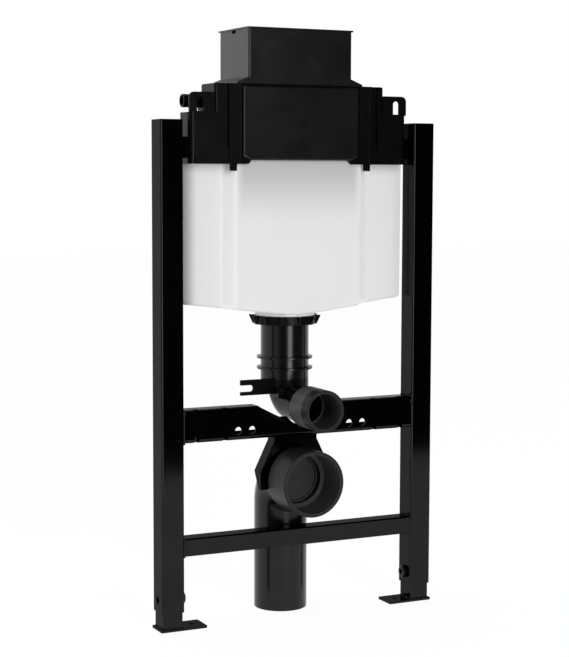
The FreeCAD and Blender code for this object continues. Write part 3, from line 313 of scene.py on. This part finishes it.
def pipe_polyethylene(code, lining, waste_collar, flush_collar):
    """Moulded polyethylene pipe: a waxy black with a soft sheen, duller behind the waste socket and on the
    flush bend's neck. Painted light: the sockets' outsides and bores are lighter greys that stand in for
    light falling on them, and the ring at the flush socket's mouth keeps the waste socket's darker grey."""
    made, tree, place = blank_material("pipe_polyethylene")
    flow, spark = (add_node(tree, "ShaderNodeTexNoise", {"Vector": place, "Scale": 1 / size, "Detail": 2.0})
                   for size in (FLOW, SPARK))
    parts = add_node(tree, "ShaderNodeSeparateXYZ", {0: place}).outputs
    waste_bore, waste_outside, waste_reach = socket_masks(tree, parts, "waste_socket")
    flush_bore, flush_outside, _ = socket_masks(tree, parts, "flush_socket")
    painted_bores = add_node(tree, "ShaderNodeMath", {0: waste_bore, 1: flush_bore}, operation="MAXIMUM")
    outer = add_node(tree, "ShaderNodeMath", {0: waste_outside, 1: flush_outside}, operation="MAXIMUM")
    socket = add_node(tree, "ShaderNodeMath", {0: painted_bores, 1: outer}, operation="MAXIMUM")
    around = add_node(tree, "ShaderNodeMath", {0: waste_reach, 1: SOCKET_OUTSIDE["waste_socket"],
                                               2: BEND_MARGIN}, operation="COMPARE")
    middle = add_node(tree, "ShaderNodeMath", {0: parts["Y"], 1: 0, 2: BEND_BACK}, operation="COMPARE")
    bend = add_node(tree, "ShaderNodeMath", {0: around, 1: middle}, operation="MULTIPLY")
    neck = add_node(tree, "ShaderNodeMath", {0: parts["Z"], 1: MOUNTS["flush_socket"]["pos_m"][2],
                                             2: NECK_REACH}, operation="COMPARE")
    behind = add_node(tree, "ShaderNodeMath", {0: bend, 1: neck}, operation="MAXIMUM")
    dull = add_node(tree, "ShaderNodeMath", {0: outer, 1: behind}, operation="MAXIMUM")
    front = add_node(tree, "ShaderNodeMath", {0: parts["Y"], 1: RING_BACK}, operation="LESS_THAN")
    ring = add_node(tree, "ShaderNodeMath", {0: flush_outside, 1: front}, operation="MULTIPLY")
    # Painted light: greys on the sockets' outsides, on the ring at the flush socket's mouth and in the bores
    tone_and_painted_shading = add_node(tree, "ShaderNodeMix", {0: flow, 6: linear(code, 0.85), 7: linear(code, 1.15)},
                      data_type="RGBA")
    for mask, shade in ((waste_outside, waste_collar), (flush_outside, flush_collar), (ring, waste_collar),
                        (painted_bores, lining)):
        tone_and_painted_shading = add_node(tree, "ShaderNodeMix", {0: mask, 6: tone_and_painted_shading, 7: linear(shade)}, data_type="RGBA")
    return finished(made, {
        "Base Color": tone_and_painted_shading,
        "Specular IOR Level": add_node(tree, "ShaderNodeMapRange", {"Value": dull, "To Min": PIPE_GLOSS,
                                                                    "To Max": DULL_GLOSS}),
        "Roughness": add_node(tree, "ShaderNodeMapRange", {"Value": socket, "To Min": PIPE_ROUGH,
                                                           "To Max": SOCKET_ROUGH}),
        "Normal": add_node(tree, "ShaderNodeBump", {"Height": spark, "Distance": SPARK_DEPTH,
                                                    "Strength": 1.0})})


def white_polyethylene(code):
    """Blow-moulded white polyethylene: soft sheen and slightly wavy walls. Its front has painted shade on the
    upper middle under the housing and beside the left end by the upright, and painted light on the creases."""
    made, tree, place = blank_material("white_polyethylene")
    wave = add_node(tree, "ShaderNodeTexNoise", {"Vector": place, "Scale": 1 / (70 * MM), "Detail": 1.0})
    skin = add_node(tree, "ShaderNodeTexNoise", {"Vector": place, "Scale": 1 / (1.2 * MM), "Detail": 2.0})
    along = dict(add_node(tree, "ShaderNodeSeparateXYZ", {0: place}).outputs.items())
    along["aside"] = add_node(tree, "ShaderNodeMath", {0: along["X"]}, operation="ABSOLUTE")
    tone_and_painted_shading = add_node(tree, "ShaderNodeMix", {0: wave, 6: linear(code, 0.98), 7: linear(code)},
                      data_type="RGBA")
    # Painted shade and painted light, mixed into the white on the front only
    for part, fades in TANK_PAINTED_SHADING:
        mask = 1.0
        for axis, start, full in (TANK_FRONT, *fades):
            fade = add_node(tree, "ShaderNodeMapRange", {"Value": along[axis], "From Min": start,
                                                         "From Max": full}, interpolation_type="SMOOTHSTEP")
            mask = add_node(tree, "ShaderNodeMath", {0: fade, 1: mask}, operation="MULTIPLY")
        tone_and_painted_shading = add_node(tree, "ShaderNodeMix", {0: mask, 6: tone_and_painted_shading, 7: linear(code, part)},
                          data_type="RGBA")
    return finished(made, {
        "Base Color": tone_and_painted_shading,
        "Roughness": add_node(tree, "ShaderNodeMapRange", {
            "Value": skin, "From Min": NOISE_LOW, "From Max": NOISE_HIGH, "To Min": 0.40, "To Max": 0.48}),
        "Subsurface Weight": 0.1,
        "Subsurface Radius": (1.0, 1.0, 1.0),
        "Subsurface Scale": 3 * MM,
        "Normal": add_node(tree, "ShaderNodeBump", {"Height": wave, "Distance": 0.15 * MM, "Strength": 1.0})})


def seal_rubber(code):
    """Moulded black rubber: matt, with a fine bloom that lifts the dark tone."""
    made, tree, place = blank_material("seal_rubber")
    skin = surface(tree, place, code, patch=4 * MM, tones=(0.8, 1.3), sheen=(0.6, 0.75), grain=4 * MM,
                   depth=0.02 * MM)
    return finished(made, {**skin, "Specular IOR Level": 0.15})


def black_oxide(code):
    """Turned steel with black oxide: dark metal with fine patches of wear."""
    made, tree, place = blank_material("black_oxide")
    skin = surface(tree, place, code, patch=2 * MM, tones=(0.8, 1.4), sheen=(0.28, 0.4), grain=2 * MM,
                   depth=0.01 * MM)
    return finished(made, {**skin, "Metallic": 1.0})


def finish_of(slot, node=None):
    """The material of a solid, or of one of the record's slots, made when it is first asked for."""
    colours = bpy.context.scene.toilet_frame.finishes
    of_node = {
        "access_shaft": (polished_abs, colours.moulding),
        "shaft_cover": (polished_abs, colours.moulding),
        "front_housing": (satin_abs, colours.moulding),
        "waste_plug": (plug_polyethylene, colours.plug),
    }
    for pipe in PIPES:
        of_node[pipe] = (pipe_polyethylene, colours.pipe, colours.lining, colours.waste_collar,
                         colours.flush_collar)
    of_slot_name = {
        "frame_steel": (gloss_powder_coat, colours.coat),
        "black_moulding": (matt_polypropylene, colours.lid),
        "inlet_plastic": (matt_polypropylene, colours.lid),
        "white_tank": (white_polyethylene, colours.tank),
        "seal_rubber": (seal_rubber, colours.rubber),
        "clamp_steel": (black_oxide, colours.bolt),
    }
    maker, *codes = of_node.get(node) or of_slot_name[slot]
    return bpy.data.materials.get(maker.__name__) or maker(*codes)


# Pieces

def new_object(name, data):
    """A new object in the scene, at the origin."""
    made = bpy.data.objects.new(name, data)
    bpy.context.scene.collection.objects.link(made)
    return made


def add_object(name, mesh, slot, node=None):
    """An object with the finish of a slot, or of a solid in it."""
    made = new_object(name, mesh)
    mesh.materials.clear()
    mesh.materials.append(finish_of(slot, node))
    return made


def plain_mesh(made):
    """Turn an object's modifiers into a plain mesh."""
    bpy.context.view_layer.update()
    graph = bpy.context.evaluated_depsgraph_get()
    mesh = bpy.data.meshes.new_from_object(made.evaluated_get(graph), depsgraph=graph)
    made.modifiers.clear()
    made.data = mesh
    mesh.name = made.name


def closed_mesh(mesh, work):
    """Write work into a mesh, with its faces pointing outwards."""
    bmesh.ops.recalc_face_normals(work, faces=work.faces)
    work.to_mesh(mesh)
    work.free()
    return mesh


def round_edges(made, edge):
    """Round an object's sharp edges and turn it into a plain mesh."""
    for face in made.data.polygons:
        face.use_smooth = True
    rounding = made.modifiers.new("edges", "BEVEL")
    rounding.limit_method = "ANGLE"
    rounding.angle_limit = SHARP
    rounding.width = edge
    rounding.segments = BEVEL_STEPS
    rounding.harden_normals = True
    weights = made.modifiers.new("normals", "WEIGHTED_NORMAL")
    weights.keep_sharp = True
    plain_mesh(made)


def soften(node, edge, reshape=None):
    """A copy of a solid with its edges rounded, and its corners reshaped, which stands for the solid."""
    mesh = bpy.data.meshes.new(node + "_soft")
    work = bmesh.new()
    work.from_mesh(frame["nodes"][node].data)
    bmesh.ops.remove_doubles(work, verts=work.verts, dist=MERGE)
    bmesh.ops.dissolve_limit(work, angle_limit=FLAT, verts=work.verts, edges=work.edges)
    if reshape:
        for vert in work.verts:
            vert.co = reshape(vert.co.copy())
    work.to_mesh(mesh)
    work.free()
    made = add_object(node + "_soft", mesh, SLOT_OF[node], node)
    round_edges(made, edge)
    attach(made, BODY_OF[node])
    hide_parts(node)


def block_mesh(name, low, high, draft):
    """A block on a wall to its right, drawn in by a mould draft towards its left face."""
    work = bmesh.new()
    corners = []
    for x, inset in ((low.x, draft), (high.x, 0)):
        near, far, foot, top = low.y + inset, high.y - inset, low.z + inset, high.z - inset
        outline = ((near, foot), (far, foot), (far, top), (near, top))
        corners += [work.verts.new((x, y, z)) for y, z in outline]
    sides = [(step, (step + 1) % 4, 4 + (step + 1) % 4, 4 + step) for step in range(4)]
    for face in sides + [(3, 2, 1, 0), (4, 5, 6, 7)]:
        work.faces.new([corners[index] for index in face])
    return closed_mesh(bpy.data.meshes.new(name), work)


def turned_mesh(name, centre, axis, rings, sides=48):
    """A closed mesh of rings along an axis; a ring is a distance, a radius and whether it is a hexagon."""
    work = bmesh.new()
    turn = Vector((0, 0, 1)).rotation_difference(axis).to_matrix()
    loops = []
    for along, radius, hexagon in rings:
        loop = []
        for step in range(sides):
            way = 2 * math.pi * step / sides
            flat = math.cos(math.pi / 6) / math.cos(way % (math.pi / 3) - math.pi / 6)
            reach = radius * (flat if hexagon else 1.0)
            point = Vector((reach * math.cos(way), reach * math.sin(way), along))
            loop.append(work.verts.new(centre + turn @ point))
        loops.append(loop)
    for first, second in zip(loops, loops[1:]):
        for step in range(sides):
            after = (step + 1) % sides
            work.faces.new((first[step], first[after], second[after], second[step]))
    work.faces.new(reversed(loops[0]))
    work.faces.new(loops[-1])
    return closed_mesh(bpy.data.meshes.new(name), work)


def path_mesh(name, paths):
    """A mesh of paths, given as lists of points; a path that ends where it starts is closed."""
    mesh = bpy.data.meshes.new(name)
    points, edges = [], []
    for path in paths:
        start, closed = len(points), path[0] == path[-1]
        points += path[:-1] if closed else path
        edges += [(index, index + 1) for index in range(start, len(points) - 1)]
        if closed:
            edges.append((len(points) - 1, start))
    mesh.from_pydata(points, edges, [])
    return mesh


def node_object(name, tree, path, slot, inputs):
    """A plain mesh that a Geometry Nodes tree grows on a path mesh."""
    made = add_object(name, path, slot)
    grown = made.modifiers.new(name, "NODES")
    grown.node_group = tree
    for socket in tree.interface.items_tree:
        if socket.in_out == "INPUT" and socket.name in inputs:
            grown[socket.identifier] = inputs[socket.name]
    plain_mesh(made)
    return made


def new_tree(name, sizes):
    """A Geometry Nodes tree with inputs for sizes and a finish, and its input and output nodes."""
    tree = bpy.data.node_groups.new(name, "GeometryNodeTree")
    tree.interface.new_socket("Geometry", in_out="OUTPUT", socket_type="NodeSocketGeometry")
    tree.interface.new_socket("Geometry", in_out="INPUT", socket_type="NodeSocketGeometry")
    for label in sizes:
        tree.interface.new_socket(label, in_out="INPUT", socket_type="NodeSocketFloat")
    tree.interface.new_socket("Finish", in_out="INPUT", socket_type="NodeSocketMaterial")
    return tree, tree.nodes.new("NodeGroupInput").outputs, tree.nodes.new("NodeGroupOutput")


def end_tree(tree, geometry, finish, out):
    """Realize the instances, set the material and give the result."""
    real = add_node(tree, "GeometryNodeRealizeInstances", {"Geometry": geometry})
    dressed = add_node(tree, "GeometryNodeSetMaterial", {"Geometry": real, "Material": finish})
    tree.links.new(dressed.outputs[0], out.inputs[0])


def weld_tree():
    """A weld seam: overlapping beads along a path, each a little different."""
    tree, given, out = new_tree("weld_seam", ("Bead", "Pitch"))
    curve = add_node(tree, "GeometryNodeMeshToCurve", {"Mesh": given["Geometry"]})
    points = add_node(tree, "GeometryNodeResampleCurve", {"Curve": curve, "Length": given["Pitch"]},
                      mode="LENGTH")
    bead = add_node(tree, "GeometryNodeMeshIcoSphere", {"Radius": given["Bead"],
                                                        "Subdivisions": BEAD_ROUNDNESS})
    smooth = add_node(tree, "GeometryNodeSetShadeSmooth", {"Geometry": bead})
    size = add_node(tree, "FunctionNodeRandomValue", {"Min": WELD_LEAST, "Max": WELD_MOST, "Seed": WELD_SEED},
                    data_type="FLOAT_VECTOR")
    seam = add_node(tree, "GeometryNodeInstanceOnPoints", {"Points": points, "Instance": smooth,
                                                           "Scale": size})
    end_tree(tree, seam, given["Finish"], out)
    return tree


def thread_tree():
    """A helical ridge along +Z, as deep as the thread."""
    tree, given, out = new_tree("inlet_thread", ("Radius", "Length", "Turns", "Depth"))
    helix = add_node(tree, "GeometryNodeCurveSpiral", {
        "Resolution": THREAD_STEPS, "Rotations": given["Turns"], "Start Radius": given["Radius"],
        "End Radius": given["Radius"], "Height": given["Length"]})
    ridge = add_node(tree, "GeometryNodeCurvePrimitiveCircle", {"Resolution": RIDGE_SIDES,
                                                                "Radius": given["Depth"]})
    swept = add_node(tree, "GeometryNodeCurveToMesh", {"Curve": helix, "Profile Curve": ridge,
                                                       "Fill Caps": True})
    end_tree(tree, swept, given["Finish"], out)
    return tree


def of_slot(*slots):
    """The solids that have one of these finishes."""
    return [node for node in sorted(SLOT_OF) if SLOT_OF[node] in slots]


# Operators

class TOILETFRAME_OT_steelwork(bpy.types.Operator):
    """Round the cut edges of the steel pieces and coat them"""
    bl_idname = "toilet_frame.steelwork"
    bl_label = "Steelwork"

    def execute(self, context):
        for node in of_slot("frame_steel"):
            soften(node, context.scene.toilet_frame.edges.steel_edge)
        return {"FINISHED"}


class TOILETFRAME_OT_welds(bpy.types.Operator):
    """Run weld seams round the ends of the crossbars and the feet of the legs"""
    bl_idname = "toilet_frame.welds"
    bl_label = "Welds"

    def execute(self, context):
        edges = context.scene.toilet_frame.edges
        tree = weld_tree()
        inputs = {"Bead": edges.weld_bead, "Pitch": edges.weld_pitch, "Finish": finish_of("frame_steel")}
        ends = []
        for bar, closed in (("lower_crossbar", True), ("pan_crossbar", False)):
            low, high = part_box(bar)
            for x in (low.x, high.x):
                around = [(x, high.y, low.z), (x, low.y, low.z), (x, low.y, high.z), (x, high.y, high.z)]
                ends.append(around + around[:1] if closed else around)
        seams = node_object("crossbar_welds", tree, path_mesh("crossbar_welds", ends), "frame_steel", inputs)
        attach(seams, BODY_OF["lower_crossbar"])
        for hand in HANDS:
            low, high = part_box(f"{hand}_leg")
            around = [(low.x, low.y, low.z), (high.x, low.y, low.z), (high.x, high.y, low.z),
                      (low.x, high.y, low.z), (low.x, low.y, low.z)]
            name = f"{hand}_foot_weld"
            ring = node_object(name, tree, path_mesh(name, [around]), "frame_steel", inputs)
            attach(ring, BODY_OF[f"{hand}_leg"])
        return {"FINISHED"}


class TOILETFRAME_OT_clamp_bolts(bpy.types.Operator):
    """Turn the leg clamp bolts, with a chamfered head and a hexagon socket"""
    bl_idname = "toilet_frame.clamp_bolts"
    bl_label = "Clamp bolts"

    def execute(self, context):
        edges = context.scene.toilet_frame.edges
        socket = edges.bolt_socket / 2 / math.cos(math.pi / 6)
        for hand, side in HANDS.items():
            node = f"{hand}_clamp_bolt"
            low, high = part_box(node)
            post_low, post_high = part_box(f"{hand}_upright")
            face = post_high.x if side < 0 else post_low.x
            crown, tip = (high.x, low.x) if side < 0 else (low.x, high.x)
            head, height = (high.y - low.y) / 2, abs(crown - face)
            rings = [(-abs(tip - face), edges.bolt_shank, False), (0, edges.bolt_shank, False),
                     (0, head, False), (height - edges.bolt_edge, head, False),
                     (height, head - edges.bolt_edge, False), (height, socket, True),
                     (height - edges.bolt_socket_depth, socket, True)]
            centre = Vector((face, (low.y + high.y) / 2, (low.z + high.z) / 2))
            mesh = turned_mesh(node + "_turned", centre, Vector((-side, 0, 0)), rings)
            bolt = add_object(node + "_turned", mesh, SLOT_OF[node], node)
            round_edges(bolt, edges.steel_edge / 2)
            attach(bolt, BODY_OF[node])
            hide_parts(node)
        return {"FINISHED"}


class TOILETFRAME_OT_mouldings(bpy.types.Operator):
    """Round the edges of the black mouldings and the seal rings"""
    bl_idname = "toilet_frame.mouldings"
    bl_label = "Mouldings"

    def execute(self, context):
        edges = context.scene.toilet_frame.edges
        for node in of_slot("black_moulding", "seal_rubber", "inlet_plastic"):
            soften(node, edges.pipe_edge if node in PIPES else edges.moulding_edge)
        return {"FINISHED"}


class TOILETFRAME_OT_bosses(bpy.types.Operator):
    """Mould the boss on the flush bend behind the fork and the pip on the lid"""
    bl_idname = "toilet_frame.bosses"
    bl_label = "Bosses"

    def execute(self, context):
        edges = context.scene.toilet_frame.edges
        block = block_mesh("flush_bend_boss", BOSS_LOW, BOSS_HIGH, BOSS_DRAFT)
        boss = add_object("flush_bend_boss", block, SLOT_OF["flush_bend"], "flush_bend")
        round_edges(boss, edges.moulding_edge)
        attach(boss, BODY_OF["flush_bend"])
        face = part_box("cistern_lid")[0].y + edges.pip_sink
        rings = [(rise * edges.pip_sink, wide * edges.pip, False) for rise, wide in PIP_PROFILE]
        dome = turned_mesh("lid_pip", Vector((PIP_X, face, PIP_Z)), Vector((0, -1, 0)), rings)
        pip = add_object("lid_pip", dome, SLOT_OF["cistern_lid"], "cistern_lid")
        round_edges(pip, edges.pip_sink / 4)
        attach(pip, BODY_OF["cistern_lid"])
        return {"FINISHED"}


class TOILETFRAME_OT_tank(bpy.types.Operator):
    """Round the edges of the white tank and draw its front corners out"""
    bl_idname = "toilet_frame.tank"
    bl_label = "Tank"

    def execute(self, context):
        edges = context.scene.toilet_frame.edges
        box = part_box("cistern_tank")
        soften("cistern_tank", edges.tank_edge,
               lambda place: self.squared(place, *box, edges.tank_squareness))
        return {"FINISHED"}

    def squared(self, place, low, high, squareness):
        """A place on a rounded front corner of the tank, drawn out to a tighter corner."""
        hand = math.copysign(1, place.x)
        across = hand * place.x - high.x + TANK_ROUND
        along = place.y - low.y - TANK_STEP - TANK_ROUND
        reach, turn = math.hypot(across, along), math.atan2(across, -along)
        on_wall = reach > TANK_ROUND - TANK_WALL / 2 or place.z < low.z + TANK_FOOT
        if not (0 < turn < TANK_TURN and reach < TANK_ROUND + TANK_WALL / 6 and on_wall):
            return place
        sharp = 1 / max(math.cos(turn), math.cos(TANK_TURN - turn))
        drawn = (sharp - 1) * squareness
        return place + Vector((hand * across, along, 0)) * drawn


class TOILETFRAME_OT_inlet_thread(bpy.types.Operator):
    """Wind the thread on the water inlet"""
    bl_idname = "toilet_frame.inlet_thread"
    bl_label = "Inlet thread"

    def execute(self, context):
        edges = context.scene.toilet_frame.edges
        low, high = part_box("inlet_stub")
        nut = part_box("inlet_nut")[0].x
        start, middle = low.x + edges.thread_pitch, (low + high) / 2
        size = nut - low.x - 2 * edges.thread_pitch
        radius = MOUNTS["water_inlet"]["dims"]["r_mm"] * MM - edges.thread_depth / 2
        inputs = {"Radius": radius, "Length": size, "Turns": size / edges.thread_pitch,
                  "Depth": edges.thread_depth, "Finish": finish_of("inlet_plastic")}
        path = path_mesh("inlet_thread", [])
        thread = node_object("inlet_thread", thread_tree(), path, "inlet_plastic", inputs)
        work = bmesh.new()
        work.from_mesh(thread.data)
        for vert in work.verts:
            vert.co = Vector((start + vert.co.z, middle.y + vert.co.y, middle.z - vert.co.x))
        closed_mesh(thread.data, work)
        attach(thread, BODY_OF["inlet_stub"])
        return {"FINISHED"}


class TOILETFRAME_OT_stage(bpy.types.Operator):
    """Set the pale floor, the soft studio light and the camera"""
    bl_idname = "toilet_frame.stage"
    bl_label = "Stage"

    def execute(self, context):
        stage = context.scene.toilet_frame.stage
        self.floor(stage, linear(context.scene.toilet_frame.finishes.floor))
        self.surroundings(context.scene, stage)
        self.softbox(stage)
        self.camera(context.scene, stage)
        context.scene.view_settings.view_transform = "Standard"
        return {"FINISHED"}

    def floor(self, stage, white):
        """A white floor that lights the object from below and ends in front of it."""
        front, reach = -stage.floor_front, stage.floor_reach
        mesh = bpy.data.meshes.new("studio_floor")
        corners = [(-reach, front, 0), (reach, front, 0), (reach, reach, 0), (-reach, reach, 0)]
        mesh.from_pydata(corners, [], [(0, 1, 2, 3)])
        made, tree, _ = blank_material("studio_floor")
        glow = add_node(tree, "ShaderNodeEmission", {"Color": white, "Strength": FLOOR_GLOW})
        matt = add_node(tree, "ShaderNodeBsdfDiffuse", {"Color": FLOOR_GREY})
        lit = add_node(tree, "ShaderNodeAddShader", {0: glow, 1: matt})
        add_node(tree, "ShaderNodeOutputMaterial", {"Surface": lit})
        mesh.materials.append(made)
        new_object("studio_floor", mesh)

    def surroundings(self, scene, stage):
        """A white backdrop, in which reflections see a dim band and, in front of the object, a dark room."""
        world = bpy.data.worlds.new("studio")
        scene.world = world
        world.use_nodes = True
        tree = world.node_tree
        tree.nodes.clear()
        heading = add_node(tree, "ShaderNodeTexCoord").outputs["Generated"]
        parts = add_node(tree, "ShaderNodeSeparateXYZ", {0: heading}).outputs
        toward = Vector((-math.sin(stage.backdrop_turn), math.cos(stage.backdrop_turn), 0))
        facing = add_node(tree, "ShaderNodeVectorMath", {0: heading, 1: toward}, operation="DOT_PRODUCT")
        behind = add_node(tree, "ShaderNodeMapRange", {
            "Value": facing, "From Min": -BACKDROP_EDGE, "From Max": BACKDROP_EDGE, "To Min": ROOM_LIGHT,
            "To Max": 1.0})
        rise, fall, right = (
            add_node(tree, "ShaderNodeMapRange", {"Value": parts[axis], "From Min": low, "From Max": high,
                                                  "To Max": full})
            for axis, (low, high), full in (
                ("Z", BAND_RISE, stage.band_dim), ("Z", BAND_FALL, stage.band_dim), ("X", BAND_RIGHT, 1.0)))
        band = add_node(tree, "ShaderNodeMath", {0: rise, 1: fall}, operation="SUBTRACT")
        dim = add_node(tree, "ShaderNodeMath", {0: band, 1: right}, operation="MULTIPLY")
        lit = add_node(tree, "ShaderNodeMath", {0: 1.0, 1: dim}, operation="SUBTRACT")
        backdrop = add_node(tree, "ShaderNodeMath", {0: behind, 1: lit}, operation="MULTIPLY")
        seen = add_node(tree, "ShaderNodeLightPath").outputs["Is Camera Ray"]
        strength = add_node(tree, "ShaderNodeMath", {0: seen, 1: backdrop}, operation="MAXIMUM")
        light = add_node(tree, "ShaderNodeBackground", {"Color": [1.0, 1.0, 1.0, 1.0], "Strength": strength})
        add_node(tree, "ShaderNodeOutputWorld", {"Surface": light})

    def softbox(self, stage):
        """A tall narrow softbox straight in front."""
        light = bpy.data.lights.new("front_softbox", "AREA")
        light.shape = "RECTANGLE"
        light.size, light.size_y = stage.softbox_width, stage.softbox_height
        light.energy = stage.softbox_power
        lamp = new_object("front_softbox", light)
        lamp.location = (0, -stage.softbox_distance, stage.softbox_centre)
        lamp.rotation_euler = (math.radians(90), 0, 0)
        lamp.visible_camera = False

    def camera(self, scene, stage):
        """The camera at the photograph's angle."""
        lens = bpy.data.cameras.new("camera")
        lens.sensor_width = SENSOR
        lens.sensor_fit = "AUTO"
        lens.lens = stage.camera_lens
        camera = new_object("camera", lens)
        camera.location = stage.camera_place
        aim = Euler((math.radians(90) - stage.camera_down, 0, -stage.camera_turn)).to_matrix()
        camera.rotation_euler = (aim @ Matrix.Rotation(stage.camera_roll, 3, "Z")).to_euler()
        scene.camera = camera


class TOILETFRAME_PT_panel(bpy.types.Panel):
    """The steps that dress the toilet frame"""
    bl_idname = "TOILETFRAME_PT_panel"
    bl_label = "Toilet frame"
    bl_space_type = "VIEW_3D"
    bl_region_type = "UI"
    bl_category = "Toilet frame"

    def draw(self, context):
        settings = context.scene.toilet_frame
        for step in STEPS:
            self.layout.operator(step.bl_idname)
        for group in (settings.finishes, settings.edges, settings.stage):
            box = self.layout.box()
            for name in group.bl_rna.properties.keys():
                if name not in ("rna_type", "name"):
                    box.prop(group, name)


STEPS = (TOILETFRAME_OT_steelwork, TOILETFRAME_OT_welds, TOILETFRAME_OT_clamp_bolts, TOILETFRAME_OT_mouldings,
         TOILETFRAME_OT_bosses, TOILETFRAME_OT_tank, TOILETFRAME_OT_inlet_thread, TOILETFRAME_OT_stage)
CLASSES = (FrameFinishes, FrameEdges, FrameStage, FrameSettings, *STEPS, TOILETFRAME_PT_panel)


def register():
    for each in CLASSES:
        bpy.utils.register_class(each)
    bpy.types.Scene.toilet_frame = PointerProperty(type=FrameSettings)


def unregister():
    del bpy.types.Scene.toilet_frame
    for each in reversed(CLASSES):
        bpy.utils.unregister_class(each)


def main():
    register()
    bpy.ops.toilet_frame.steelwork()
    bpy.ops.toilet_frame.welds()
    bpy.ops.toilet_frame.clamp_bolts()
    bpy.ops.toilet_frame.mouldings()
    bpy.ops.toilet_frame.bosses()
    bpy.ops.toilet_frame.tank()
    bpy.ops.toilet_frame.inlet_thread()
    bpy.ops.toilet_frame.stage()


if __name__ == "__main__":
    main()
